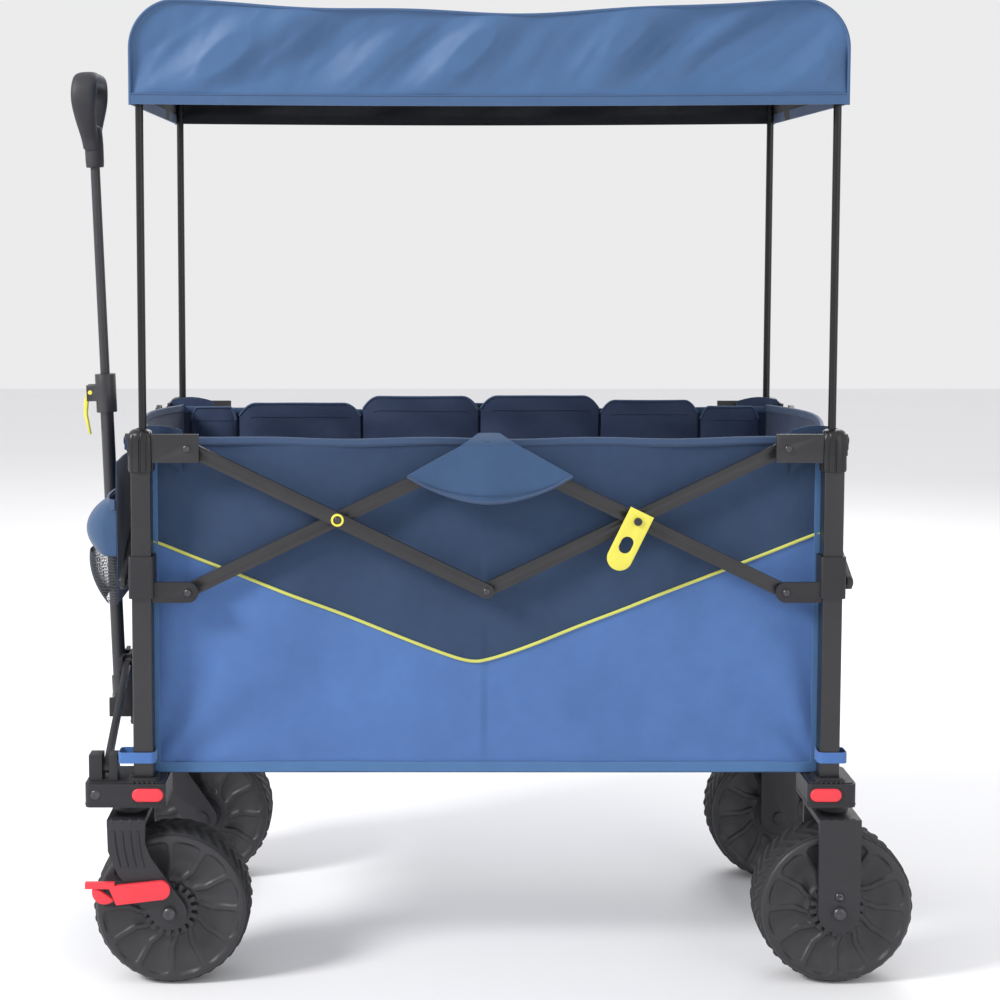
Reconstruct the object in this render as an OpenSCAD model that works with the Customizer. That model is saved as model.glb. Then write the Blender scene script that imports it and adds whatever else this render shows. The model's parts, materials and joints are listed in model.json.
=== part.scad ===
// Folding kids pull wagon with a fabric basket and a canopy.
// +X is the rear, -Y the near side, +Z up. The origin is on the ground under the middle of the wagon.
// The frame folds both ways: every scissor has bars of one length, so all of them share one angle.

/* [Scissor frame] */
// Reach of one scissor unit between its pivots, unfolded
unit_span = 376; // [280:1:460]
// Height between the upper and lower pivots, unfolded
unit_rise = 182; // [140:1:230]
// Height of the upper pivots
top_pivot_z = 689; // [640:1:900]
// Height of the end scissors' pivots above the side ones
end_lift = 6; // [0:1:10]
// Distance from a post's middle to its side pivots
side_arm = 58; // [50:1:80]
// Distance from a post's middle to its end pivots
end_arm = 29; // [26:1:40]
// Height of a scissor bar's section
bar_h = 18; // [14:1:22]
// Thickness of a scissor bar
bar_t = 7; // [5:0.5:8]
// Gap between pieces that pass each other
layer_gap = 1.5; // [1:0.1:2]
// Radius of every pivot rivet
pin_r = 3; // [2.5:0.1:4]
// Running clearance around a pivot rivet
pin_play = 0.1; // [0.05:0.01:0.2]
// Clearance around a rivet at a pivot that closes a loop
loop_play = 0.4; // [0.3:0.05:0.8]

/* [Posts and sliders] */
// Side of the square corner post
post_s = 25; // [20:1:30]
// Wall of the post's tube
post_wall = 1.5; // [1:0.1:3]
// Length of a slider's sleeve
sleeve_len = 53; // [40:1:60]
// Wall of a slider's sleeve
sleeve_wall = 3; // [2:0.5:5]
// Clearance between a post and what surrounds it
post_play = 0.5; // [0.3:0.1:1]
// Height of the bracket riveted to a post's top
bracket_h = 36; // [30:1:40]
// Thickness of the brackets and slider arms
plate_t = 5; // [4:0.5:6]
// Height of a slider's arms
arm_h = 26; // [20:1:30]

/* [Bases and wheels] */
// Gap between a fork's crown and its corner base
crown_gap = 15; // [8:1:40]
// Gap between a tyre and the crown above it
tyre_gap = 12; // [8:1:30]
// Height of a corner base
base_h = 30; // [26:1:40]
// Wheel radius
wheel_r = 100; // [80:1:105]
// Wheel width
wheel_w = 80; // [50:1:82]
// Radius of an axle
axle_r = 6; // [4:0.5:8]
// Thickness of a fork's leg
leg_t = 8; // [5:0.5:9]
// Gap between a wheel and its fork
wheel_gap = 3; // [2:0.5:5]
// Distance of a caster's swivel ahead of the post
swivel_out = 21; // [18:1:24]
// Distance of a caster's axle behind its swivel
trail = 54; // [40:1:60]
// Distance of a rear axle behind the post
rear_axle_out = 12; // [8:1:16]
// Radius of the stem that turns or holds a fork in its base
stem_r = 9; // [7:0.5:10]
// Wall between a stem and its post
stem_wall = 2; // [1.5:0.5:6]

/* [Pull handle] */
// Lean of the upright handle
handle_lean = 2.07; // [0:0.01:5]
// Length of the lower tube
tube_len = 440; // [380:1:480]
// Radius of the lower tube
tube_r = 9; // [8:0.5:12]
// Radius of the sliding upper tube
rod_r = 6.5; // [5:0.1:7]
// Length of the upper tube that shows
rod_out = 278; // [200:1:320]
// Width of the loop grip
grip_w = 118; // [100:1:140]
// Depth of the loop grip
grip_d = 38; // [24:1:44]
// Height of the loop grip
grip_h = 128; // [110:1:140]

/* [Fabric] */
// Thickness of the fabric solids
cloth_t = 3; // [2:0.5:4]
// Height of the basket's rim above the upper pivots
rim_over = 16; // [4:1:60]
// Reach of the canopy beyond the posts' middles, front and rear
canopy_over_x = 8; // [8:1:20]
// Reach of the canopy beyond the posts' middles, near and far
canopy_over_y = 21; // [10:1:30]
// Height of the canopy's lower edge above the basket's rim
canopy_lift = 409; // [300:1:480]
// Height of the canopy itself
canopy_h = 130; // [100:1:180]
// Radius of the canopy's upper corners
canopy_r = 60; // [40:1:80]
// Radius of a canopy pole
pole_r = 5; // [4:0.5:6]
// Wall of the cap that holds a pole on its post
cap_wall = 4.2; // [3:0.1:6]
// Clearance between a post and the cap or base that it stands in
seat_play = 0.3; // [0.2:0.1:0.6]

/* [Hidden] */
$fn = 48;
eps = 0.01;

post_x = unit_span + side_arm;
post_y = unit_span / 2 + end_arm;
bar_len = sqrt(pow(unit_span, 2) + pow(unit_rise, 2));
bar_angle = atan(unit_rise / unit_span);
low_pivot_z = top_pivot_z - unit_rise;
end_top_z = top_pivot_z + end_lift;
end_low_z = low_pivot_z + end_lift;
head_r = pin_r + 2;
head_t = 2;

// layers of the side scissors, outwards from the basket
inner_y = post_y - post_s / 2 + 1;
outer_y = inner_y + bar_t + layer_gap;
plate_y = outer_y + bar_t + layer_gap;
// layers of the end scissors, outwards from the posts
end_plate_x = post_x + post_s / 2;
end_plate_t = sleeve_wall + post_play;
inner_x = end_plate_x + end_plate_t + layer_gap - 0.5;
outer_x = inner_x + bar_t + layer_gap;

axle_z = wheel_r;
crown_z = axle_z + wheel_r + tyre_gap;
crown_t = 8;
base_z = crown_z + crown_t + crown_gap;
base_top = base_z + base_h;
post_foot_z = base_z + 7;
boot_wall = 4;
boot_top = base_top + 6;
wheel_in = post_s / 2 + stem_r + stem_wall;
wheel_y = post_y - wheel_in;
base_y0 = wheel_y - 33.5;
swivel_x = post_x + swivel_out;
front_axle_x = swivel_x - trail;
rear_axle_x = post_x + rear_axle_out;

// release buttons, each in a pocket in the outer face of its base
button_len = 40;
button_h = 17;
button_play = 0.4;
button_travel = 3;
button_gap = 0.3;
button_proud = 2.5;
button_depth = 8;
button_pocket = button_depth - button_proud + button_travel + button_gap;
button_wall = 1.4;
button_x = post_x - 6.5;
button_z = base_z + 16;
base_y1 = post_y + post_s / 2 + seat_play + button_wall + button_pocket;

arm_x = post_x + 48;
arm_z = base_top + 15;
yoke_y = end_arm;
yoke_gap = 1;
hub_half = 11;
yoke_z = arm_z + unit_rise / 2;
hinge_x = post_x + 61.6;
hinge_z = base_top + 40;
clamp_h = 52;
clamp_r = 14;

rim_z = top_pivot_z + rim_over;
cap_w = post_s + 2 * (seat_play + cap_wall);
cap_z0 = rim_z - 45;
cap_z1 = rim_z + 8;
cap_lid = 5;
canopy_len = 2 * (post_x + canopy_over_x);
canopy_w = 2 * (post_y + canopy_over_y);
canopy_z0 = rim_z + canopy_lift;
canopy_z1 = canopy_z0 + canopy_h;
basket_x = post_x - 4;
basket_y = post_y - post_s / 2 - sleeve_wall - post_play - 2;
floor_z = base_top + 2;
floor_t = 4;
fold_y = basket_y + 6;

// ---- helpers ----

// Everything at a corner is drawn in the rear far quadrant and mirrored to its place.
module corner(front, near) {
    mirror([front, 0, 0]) mirror([0, near, 0]) children();
}

// Cylinder along Y between two heights of y
module rod_y(x, z, y0, y1, r) {
    translate([x, y1, z]) rotate([90, 0, 0]) cylinder(r = r, h = y1 - y0);
}

// Cylinder along X
module rod_x(y, z, x0, x1, r) {
    translate([x0, y, z]) rotate([0, 90, 0]) cylinder(r = r, h = x1 - x0);
}

// Box between two corners
module box(a, b) {
    translate(a) cube(b - a);
}

// Rectangle with round corners, centred
module round_rect(w, h, r) {
    square([w - 2 * r, h], center = true);
    square([w, h - 2 * r], center = true);
    for (sx = [-1, 1], sy = [-1, 1])
        translate([sx * (w / 2 - r), sy * (h / 2 - r)]) circle(r);
}

// Flat bar with round ends from the origin along +X, with a hole at each place in holes
module bar_flat(length, holes) {
    linear_extrude(bar_t) difference() {
        union() {
            translate([0, -bar_h / 2]) square([length, bar_h]);
            circle(bar_h / 2);
            translate([length, 0]) circle(bar_h / 2);
        }
        for (hole = holes) translate([hole[0], 0]) circle(pin_r + hole[1]);
    }
}

// ---- posts and sliders ----

// Side pivot rivet held by a plate: it carries the inner or the outer bar
module side_pivot(z, outer) {
    y0 = (outer ? outer_y : inner_y) - layer_gap / 2;
    rod_y(unit_span, z, y0 - head_t / 2, y0, head_r);
    rod_y(unit_span, z, y0, plate_y, pin_r);
    if (!outer) rod_y(unit_span, z, inner_y + bar_t + layer_gap / 2, plate_y, head_r);
    rod_y(unit_span, z, plate_y + plate_t, plate_y + plate_t + head_t, head_r);
}

// End pivot rivet held by a plate
module end_pivot(z, outer) {
    x0 = end_plate_x + end_plate_t;
    x1 = (outer ? outer_x : inner_x) + bar_t + layer_gap / 2;
    rod_x(unit_span / 2, z, x0 - eps, x1, pin_r);
    if (outer) rod_x(unit_span / 2, z, x0 - eps, outer_x - layer_gap / 2, head_r);
    rod_x(unit_span / 2, z, x1, x1 + head_t / 2, head_r);
}

module post(front, near) {
    color([0.07, 0.07, 0.08]) corner(front, near) {
        translate([post_x, post_y, post_foot_z]) linear_extrude(cap_z1 - cap_lid - post_foot_z)
            difference() {
                round_rect(post_s, post_s, 2);
                round_rect(post_s - 2 * post_wall, post_s - 2 * post_wall, 1);
            }
        bracket_z = top_pivot_z - bracket_h / 2;
        difference() {
            box([unit_span - 15, plate_y, bracket_z],
                [post_x - post_s / 2 + post_wall, plate_y + plate_t, bracket_z + bracket_h]);
            rod_y(unit_span, top_pivot_z, plate_y - 1, plate_y + plate_t + 1, pin_r);
        }
        rod_y(unit_span, top_pivot_z, plate_y - eps, plate_y + plate_t + eps, pin_r);
        side_pivot(top_pivot_z, front == 1);
        box([end_plate_x - eps, unit_span / 2 - 10, end_top_z - 15],
            [end_plate_x + end_plate_t, post_y + post_s / 2 - 2, end_top_z + 12]);
        end_pivot(end_top_z, near == 0);
    }
}

module slider(front, near) {
    sleeve_s = post_s + 2 * (post_play + sleeve_wall);
    color([0.15, 0.15, 0.16]) corner(front, near) {
        translate([post_x, post_y, low_pivot_z - 7]) linear_extrude(sleeve_len) difference() {
            round_rect(sleeve_s, sleeve_s, 4);
            round_rect(post_s + 2 * post_play, post_s + 2 * post_play, 2);
        }
        box([unit_span, plate_y, low_pivot_z - arm_h / 2],
            [post_x - sleeve_s / 2 + sleeve_wall, plate_y + plate_t, low_pivot_z + arm_h / 2]);
        rod_y(unit_span, low_pivot_z, plate_y, plate_y + plate_t, arm_h / 2);
        side_pivot(low_pivot_z, front == 0);
        box([end_plate_x + post_play, unit_span / 2 - 10, end_low_z - arm_h / 2],
            [end_plate_x + end_plate_t, post_y - sleeve_s / 2 + sleeve_wall, end_low_z + arm_h / 2]);
        end_pivot(end_low_z, near == 1);
    }
}

// ---- scissor bars ----

// Bar 1 falls from the front upper pivot, bar 2 rises from the front slider,
// bar 3 falls to the rear slider and bar 4 rises to the rear upper pivot.
// Bars 1 and 3 pass outside the others. Places along a bar: 0 start, 1 middle, 2 end.
module side_bar(number, near) {
    rising = number == 2 || number == 4;
    x0 = number <= 2 ? -unit_span : 0;
    z0 = rising ? low_pivot_z : top_pivot_z;
    own_rivets = number == 1 ? [1, 2] : (number == 3 ? [0] : (number == 4 ? [1] : []));
    open_pivots = number == 2 ? (near == 1 ? [2] : [0, 2]) : [];
    holes = [for (i = [0 : 2]) if (len(search(i, own_rivets)) == 0)
        [i * bar_len / 2, len(search(i, open_pivots)) > 0 ? loop_play : pin_play]];
    color([0.09, 0.09, 0.1]) mirror([0, near, 0]) {
        translate([x0, (rising ? inner_y : outer_y) + bar_t, z0]) rotate([90, 0, 0])
            rotate(rising ? bar_angle : -bar_angle) bar_flat(bar_len, holes);
        for (i = own_rivets) {
            x = x0 + i * unit_span / 2;
            z = z0 + (rising ? 1 : -1) * i * unit_rise / 2;
            if (rising) outward_rivet(x, z, near);
            else inward_rivet(x, z);
        }
    }
}

// Rivet fixed in an outer bar and passing through the inner one
module inward_rivet(x, z) {
    y0 = inner_y - layer_gap / 2;
    rod_y(x, z, y0, outer_y + 1, pin_r);
    rod_y(x, z, y0 - head_t / 2, y0, head_r);
    rod_y(x, z, outer_y + bar_t - 1, outer_y + bar_t + layer_gap / 2, head_r + 1);
}

// Rivet fixed in an inner bar; on the near side it is long enough to carry the lock tab
module outward_rivet(x, z, near) {
    y1 = near == 1 ? tab_y + tab_t + layer_gap / 2 : outer_y + bar_t + layer_gap / 2;
    rod_y(x, z, inner_y - layer_gap / 2, inner_y + 1, head_r);
    rod_y(x, z, inner_y + bar_t - 1, y1, pin_r);
    rod_y(x, z, y1, y1 + head_t, head_r);
}

tab_y = plate_y + plate_t + 3;
tab_t = 3;

// Bar 1 falls from the near upper pivot, bar 2 rises from the near slider.
module end_bar(number, front) {
    rising = number == 2;
    x0 = rising ? outer_x : inner_x;
    z0 = rising ? end_low_z : end_top_z;
    mid = (end_low_z + end_top_z) / 2;
    places = rising ? [0, 1, 2] : [0, 2];
    holes = [for (i = places) [i * bar_len / 2, i == 1 ? pin_play : loop_play]];
    color([0.09, 0.09, 0.1]) mirror([front, 0, 0]) {
        translate([x0, -unit_span / 2, z0]) rotate([90, 0, 90])
            rotate(rising ? bar_angle : -bar_angle) bar_flat(bar_len, holes);
        if (!rising) {
            rod_x(0, mid, inner_x - layer_gap / 2, inner_x + 1, head_r);
            rod_x(0, mid, inner_x + bar_t - 1, outer_x + bar_t + layer_gap / 2, pin_r);
            rod_x(0, mid, outer_x + bar_t + layer_gap / 2, outer_x + bar_t + layer_gap / 2 + head_t, head_r);
        }
    }
}

// Plate that hooks over the opposite crossing to hold the wagon folded
module fold_lock_tab() {
    tab_w = 32;
    tab_len = 80;
    color([0.95, 0.91, 0.32])
        translate([unit_span / 2, -tab_y, (low_pivot_z + top_pivot_z) / 2]) rotate([90, 0, 0])
            rotate(-bar_angle) linear_extrude(tab_t) difference() {
                union() {
                    translate([-tab_w / 2, -tab_len + 13 + tab_w / 2]) square([tab_w, tab_len - tab_w / 2]);
                    translate([0, -tab_len + 13 + tab_w / 2]) circle(tab_w / 2);
                }
                circle(pin_r + pin_play);
                translate([0, -30]) circle(8);
                translate([-8, -36]) square([16, 6]);
                translate([0, -36]) circle(8);
            }
}

// ---- bases, forks and wheels ----

module button_shape(play) {
    r = button_h / 2;
    square([button_len - 2 * r, button_h + 2 * play], center = true);
    for (s = [-1, 1]) translate([s * (button_len / 2 - r), 0]) circle(r + play);
}

module button(front, near) {
    color([0.9, 0.12, 0.16]) corner(front, near)
        translate([button_x, base_y1 + button_proud, button_z]) rotate([90, 0, 0])
            linear_extrude(button_depth) button_shape(0);
}

module base(front, near) {
    x0 = post_x - 29;
    x1 = post_x + (front ? 73 : 32);
    stem_x = front ? swivel_x : rear_axle_x;
    color([0.14, 0.14, 0.15]) corner(front, near) difference() {
        union() {
            translate([(x0 + x1) / 2, (base_y0 + base_y1) / 2, base_z])
                linear_extrude(base_h) round_rect(x1 - x0, base_y1 - base_y0, 7);
            translate([post_x, post_y, base_top - eps])
                linear_extrude(boot_top - base_top)
                    round_rect(post_s + 2 * boot_wall, post_s + 2 * boot_wall, 5);
            if (front) box([arm_x - 15, post_y - 12, base_top - eps], [arm_x + 21, post_y + 12, base_top + 34]);
        }
        translate([post_x, post_y, post_foot_z - seat_play]) linear_extrude(base_h + 10)
            round_rect(post_s + 2 * seat_play, post_s + 2 * seat_play, 2);
        translate([button_x, base_y1 + 1, button_z]) rotate([90, 0, 0])
            linear_extrude(button_pocket + 1) button_shape(button_play);
        translate([stem_x, wheel_y, base_z - 1]) cylinder(r = stem_r + 0.1, h = base_h - 4);
        if (front) {
            box([arm_x - 4.5, post_y - 13, base_top + 3], [arm_x + 4.5, post_y + 13, base_top + 35]);
            rod_x(post_y, arm_z, arm_x - 4.5, arm_x + 4.5, pin_r);
        }
    }
    if (front) color([0.14, 0.14, 0.15]) corner(front, near)
        rod_x(post_y, arm_z, arm_x - 4.5 - eps, arm_x + 4.5 + eps, pin_r);
}

// The wheel's middle plane is y = 0 here; legs stand on both sides of it.
leg_y = wheel_w / 2 + wheel_gap;

module axle_and_bolts(x) {
    rod_y(x, axle_z, -leg_y - leg_t, leg_y + leg_t, axle_r);
    for (s = [-1, 1]) rod_y(x, axle_z, s * (leg_y + leg_t) - (s < 0 ? 4 : 0),
        s * (leg_y + leg_t) + (s < 0 ? 0 : 4), 9);
}

module leg(outline_front) {
    for (s = [-1, 1]) translate([0, s * (leg_y + leg_t / 2) + leg_t / 2, 0]) rotate([90, 0, 0])
        linear_extrude(leg_t) {
            if (outline_front) {
                w = 24;
                polygon([[swivel_x + w, crown_z + crown_t], [swivel_x + w - 1, crown_z - 32],
                    [swivel_x + w - 13, crown_z - 62], [front_axle_x + 18.8, axle_z - 11.4],
                    [front_axle_x - 18.8, axle_z + 11.4], [swivel_x - w - 7, crown_z - 40],
                    [swivel_x - w, crown_z - 22], [swivel_x - w, crown_z + crown_t]]);
                translate([front_axle_x, axle_z]) circle(22);
            } else {
                w = 26.5;
                translate([rear_axle_x - w, axle_z]) square([2 * w, crown_z + crown_t - axle_z]);
                translate([rear_axle_x, axle_z]) circle(w);
            }
        }
}

module fork(front, near) {
    x = front ? swivel_x : rear_axle_x;
    w = front ? 24 : 26.5;
    color([0.19, 0.19, 0.2]) corner(front, near) translate([0, wheel_y, 0]) {
        leg(front == 1);
        box([x - w, -leg_y - leg_t, crown_z], [x + w, leg_y + leg_t, crown_z + crown_t]);
        translate([x, 0, crown_z]) cylinder(r = 20, h = base_z - crown_z - 0.5);
        translate([x, 0, crown_z]) cylinder(r = stem_r, h = base_z - crown_z + base_h - 7);
        axle_and_bolts(front ? front_axle_x : rear_axle_x);
        if (front) rod_y(front_axle_x + 10, axle_z + 32, leg_y + leg_t - 1, leg_y + leg_t + 1.5, 4);
    }
}

module wheel(front, near) {
    half = wheel_w / 2;
    color([0.2, 0.2, 0.21]) corner(front, near)
        translate([front ? front_axle_x : rear_axle_x, wheel_y, axle_z]) rotate([90, 0, 0])
            rotate_extrude() polygon([
                [axle_r + 0.1, -half], [26, -half], [30, -half + 8], [wheel_r - 22, -half + 12], [wheel_r - 12, -half + 4],
                [wheel_r - 7, -half + 6], [wheel_r, -half + 16], [wheel_r, half - 16],
                [wheel_r - 7, half - 6], [wheel_r - 12, half - 4], [wheel_r - 22, half - 12], [30, half - 8],
                [26, half], [axle_r + 0.1, half]]);
}

module brake_lever(near) {
    y0 = leg_y + leg_t + 2;
    px = front_axle_x + 10;
    pz = axle_z + 32;
    color([0.9, 0.14, 0.18]) corner(1, near) translate([0, wheel_y, 0]) difference() {
        union() {
            translate([0, y0 + 6, 0]) rotate([90, 0, 0]) linear_extrude(6) {
                translate([px, pz]) circle(12);
                polygon([[px, pz + 12], [px, pz - 12], [px + 56, pz - 19], [px + 66, pz + 5]]);
            }
            box([px + 58, y0 - 1, pz + 2], [post_x + 72, y0 + 6, pz + 10]);
            rod_y(px, pz, y0 - 6, y0, 6);
        }
        rod_y(px, pz, y0 - 10, y0 - 0.3, 6.1);
    }
}

// ---- canopy poles ----

module pole(front, near) {
    bend_r = 50;
    bend_z = canopy_z1 - 74;
    color([0.05, 0.05, 0.06]) corner(front, near) {
        translate([post_x - 2, post_y, cap_z1 - eps]) cylinder(r = pole_r, h = bend_z - cap_z1 + 2 * eps);
        translate([post_x - 2 - bend_r, post_y, bend_z]) rotate([90, 0, 0])
            rotate_extrude(angle = 90) translate([bend_r, 0]) circle(pole_r);
        rod_x(post_y, bend_z + bend_r, post_x - 42 - bend_r, post_x - 2 - bend_r + eps, pole_r);
        difference() {
            translate([post_x, post_y, cap_z0]) linear_extrude(cap_z1 - cap_z0)
                round_rect(cap_w, cap_w, cap_w / 4);
            translate([post_x, post_y, cap_z0 - 1]) linear_extrude(cap_z1 - cap_z0 - 3)
                round_rect(post_s + 2 * seat_play, post_s + 2 * seat_play, 2);
            box([post_x - 40, plate_y - 0.5, cap_z0 - 1],
                [post_x, plate_y + plate_t + 0.5, top_pivot_z + bracket_h / 2 + 0.5]);
            box([end_plate_x - 0.5, post_y - 40, cap_z0 - 1],
                [post_x + 40, post_y + post_s / 2, end_top_z + 12.5]);
        }
    }
}

// ---- pull handle ----

module handle_arm(near) {
    ends = near ? [pin_play, pin_play] : [loop_play, pin_play];
    color([0.12, 0.12, 0.13]) corner(1, near)
        translate([arm_x - 4, 0, 0]) difference() {
            union() {
                hull() {
                    rod_x(post_y, arm_z, 0, 8, 6.5);
                    rod_x(yoke_y, yoke_z, 0, 8, 6.5);
                }
            }
            rod_x(post_y, arm_z, -1, 9, pin_r + ends[0]);
            rod_x(yoke_y, yoke_z, -1, 9, pin_r + ends[1]);
        }
}

// Links the two arms behind the handle and holds it between two cheeks, open towards the front.
module handle_yoke() {
    x0 = arm_x - 4;
    ear_x = arm_x + 4 + yoke_gap;
    top = yoke_z + 9;
    cheek_y = hub_half + yoke_gap / 2;
    color([0.13, 0.13, 0.14]) mirror([1, 0, 0]) {
        box([x0, -cheek_y - plate_t, hinge_z - 12], [x0 + plate_t, cheek_y + plate_t, top]);
        for (s = [0, 1]) mirror([0, s, 0]) {
            box([x0, cheek_y, hinge_z - 12], [ear_x + plate_t, cheek_y + plate_t, top]);
            box([x0, cheek_y, hinge_z - 12], [hinge_x + 14, cheek_y + plate_t, hinge_z + 14]);
            box([ear_x, cheek_y, yoke_z - 9], [ear_x + plate_t, yoke_y + 9, top]);
            rod_x(yoke_y, yoke_z, arm_x - 5, ear_x + eps, pin_r);
            rod_x(yoke_y, yoke_z, arm_x - 7, arm_x - 5, head_r);
        }
        rod_y(hinge_x, hinge_z, -cheek_y - plate_t, cheek_y + plate_t, pin_r);
    }
}

// Everything on the handle is drawn along its own axis, from the yoke's hinge pin.
module along_handle() {
    translate([-hinge_x, 0, hinge_z]) rotate([0, -handle_lean, 0]) children();
}

module handle_tube() {
    color([0.1, 0.1, 0.11]) along_handle() difference() {
        union() {
            cylinder(r = tube_r, h = tube_len);
            rod_y(0, 0, -hub_half, hub_half, 10);
            translate([0, 0, 12]) cylinder(r = 11, h = 30);
            translate([0, 0, tube_len - 32]) cylinder(r = clamp_r, h = clamp_h);
            for (s = [-1, 1]) box([-25, s * 8.5 - 2.5, tube_len - 16], [-8, s * 8.5 + 2.5, tube_len + 6]);
        }
        translate([0, 0, 20]) cylinder(r = rod_r + 0.4, h = tube_len + 60);
        rod_y(0, 0, -12, 12, pin_r + pin_play);
        rod_y(-20, tube_len - 4, -12, 12, pin_r + pin_play);
    }
}

module clamp_lever() {
    color([0.93, 0.9, 0.3]) along_handle() translate([-20, 0, tube_len - 4]) {
        rod_y(0, 0, -11.5, 11.5, pin_r);
        rod_y(0, 0, -5.5, 5.5, 5);
        rotate([90, 0, 0]) translate([0, 0, -5.5]) linear_extrude(11)
            polygon([[-5, 2], [-10, -12], [-11, -30], [-5, -58], [-3, -58], [-7, -30], [-5, -14], [2, -4]]);
    }
}

module handle_extension() {
    inside = 120;
    grip_z = tube_len + 20 + rod_out;
    color([0.16, 0.16, 0.17]) along_handle() {
        translate([0, 0, tube_len + 20 - inside]) cylinder(r = rod_r, h = rod_out + inside + 20);
        translate([0, 0, grip_z]) rotate([90, 0, 90]) translate([0, 0, -grip_d / 2]) linear_extrude(grip_d)
            difference() {
                union() {
                    polygon([[-12, 0], [12, 0], [grip_w / 2, grip_h - 45], [-grip_w / 2, grip_h - 45]]);
                    translate([0, grip_h - 30]) round_rect(grip_w, 60, 22);
                }
                polygon([[-12, 40], [12, 40], [grip_w / 2 - 20, grip_h - 45], [-grip_w / 2 + 20, grip_h - 45]]);
                translate([0, grip_h - 40]) round_rect(grip_w - 40, 32, 10);
            }
    }
}

// ---- fabric ----

module basket_side(near) {
    color([0.2, 0.34, 0.6]) mirror([0, near, 0])
        box([-basket_x, basket_y - cloth_t, floor_z], [basket_x, basket_y, rim_z]);
}

module basket_end(front) {
    color([0.2, 0.3, 0.5]) mirror([front, 0, 0])
        box([basket_x - cloth_t, -basket_y + cloth_t + 0.5, floor_z],
            [basket_x, basket_y - cloth_t - 0.5, rim_z]);
}

module floor_half(near) {
    color([0.15, 0.2, 0.32]) mirror([0, near, 0])
        box([-basket_x + cloth_t + 0.5, 0.5, floor_z],
            [basket_x - cloth_t - 0.5, basket_y - cloth_t - 0.5, floor_z + floor_t]);
}

module front_pockets() {
    x0 = -(outer_x + bar_t + 5);
    z0 = rim_z - 225;
    color([0.16, 0.25, 0.42]) for (s = [-1, 1]) mirror([0, s < 0 ? 1 : 0, 0]) {
        box([x0 - 3, 26, z0], [x0, unit_span / 2 - 22, rim_z - 40]);
        difference() {
            box([x0 - 55, 26, z0], [x0 - 2.99, unit_span / 2 - 22, rim_z - 90]);
            box([x0 - 52, 29, z0 + 3], [x0 - 3, unit_span / 2 - 25, rim_z - 80]);
        }
    }
}

// Outline of the canopy seen from the side, inset by a margin
module canopy_outline(inset) {
    half = canopy_len / 2 - inset;
    r = canopy_r - inset;
    difference() {
        union() {
            translate([-half + r, canopy_z0]) square([2 * half - 2 * r, canopy_z1 - inset - canopy_z0]);
            translate([-half, canopy_z0]) square([2 * half, canopy_z1 - inset - r - canopy_z0]);
            for (s = [-1, 1]) translate([s * (half - r), canopy_z1 - inset - r]) circle(r);
        }
        if (inset > 0) translate([-half - 1, canopy_z0 - 1]) square([2 * half + 2, 1]);
    }
}

module canopy_arch(y0, y1) {
    translate([0, y1, 0]) rotate([90, 0, 0]) linear_extrude(y1 - y0) difference() {
        canopy_outline(0);
        canopy_outline(cloth_t);
        translate([-canopy_len / 2 + cloth_t, canopy_z0 - 1]) square([canopy_len - 2 * cloth_t, 2]);
    }
}

module canopy_side(near) {
    color([0.22, 0.4, 0.62]) mirror([0, near, 0]) {
        translate([0, canopy_w / 2, 0]) rotate([90, 0, 0]) linear_extrude(cloth_t) canopy_outline(0);
        canopy_arch(fold_y, canopy_w / 2 - cloth_t + eps);
    }
}

module canopy_top(near) {
    color([0.2, 0.37, 0.58]) mirror([0, near, 0]) canopy_arch(0.5, fold_y - 0.5);
}

post(1, 1);  // post_front_near
post(1, 0);  // post_front_far
post(0, 1);  // post_rear_near
post(0, 0);  // post_rear_far
base(1, 1);  // base_front_near
base(1, 0);  // base_front_far
base(0, 1);  // base_rear_near
base(0, 0);  // base_rear_far
slider(1, 1);  // slider_front_near
slider(1, 0);  // slider_front_far
slider(0, 1);  // slider_rear_near
slider(0, 0);  // slider_rear_far
fork(1, 1);  // fork_front_near
fork(1, 0);  // fork_front_far
fork(0, 1);  // fork_rear_near
fork(0, 0);  // fork_rear_far
wheel(1, 1);  // wheel_front_near
wheel(1, 0);  // wheel_front_far
wheel(0, 1);  // wheel_rear_near
wheel(0, 0);  // wheel_rear_far
pole(1, 1);  // pole_front_near
pole(1, 0);  // pole_front_far
pole(0, 1);  // pole_rear_near
pole(0, 0);  // pole_rear_far
button(1, 1);  // button_front_near
button(1, 0);  // button_front_far
button(0, 1);  // button_rear_near
button(0, 0);  // button_rear_far
brake_lever(1);  // brake_lever_near
brake_lever(0);  // brake_lever_far
side_bar(1, 1);  // side_bar_near_1
side_bar(2, 1);  // side_bar_near_2
side_bar(3, 1);  // side_bar_near_3
side_bar(4, 1);  // side_bar_near_4
side_bar(1, 0);  // side_bar_far_1
side_bar(2, 0);  // side_bar_far_2
side_bar(3, 0);  // side_bar_far_3
side_bar(4, 0);  // side_bar_far_4
end_bar(1, 1);  // end_bar_front_1
end_bar(2, 1);  // end_bar_front_2
end_bar(1, 0);  // end_bar_rear_1
end_bar(2, 0);  // end_bar_rear_2
handle_arm(1);  // handle_arm_near
handle_arm(0);  // handle_arm_far
handle_yoke();
handle_tube();
clamp_lever();
handle_extension();
fold_lock_tab();
basket_side(1);  // basket_near
basket_side(0);  // basket_far
basket_end(1);  // basket_front
basket_end(0);  // basket_rear
floor_half(1);  // floor_near
floor_half(0);  // floor_far
front_pockets();
canopy_side(1);  // canopy_side_near
canopy_side(0);  // canopy_side_far
canopy_top(1);  // canopy_top_near
canopy_top(0);  // canopy_top_far
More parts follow.
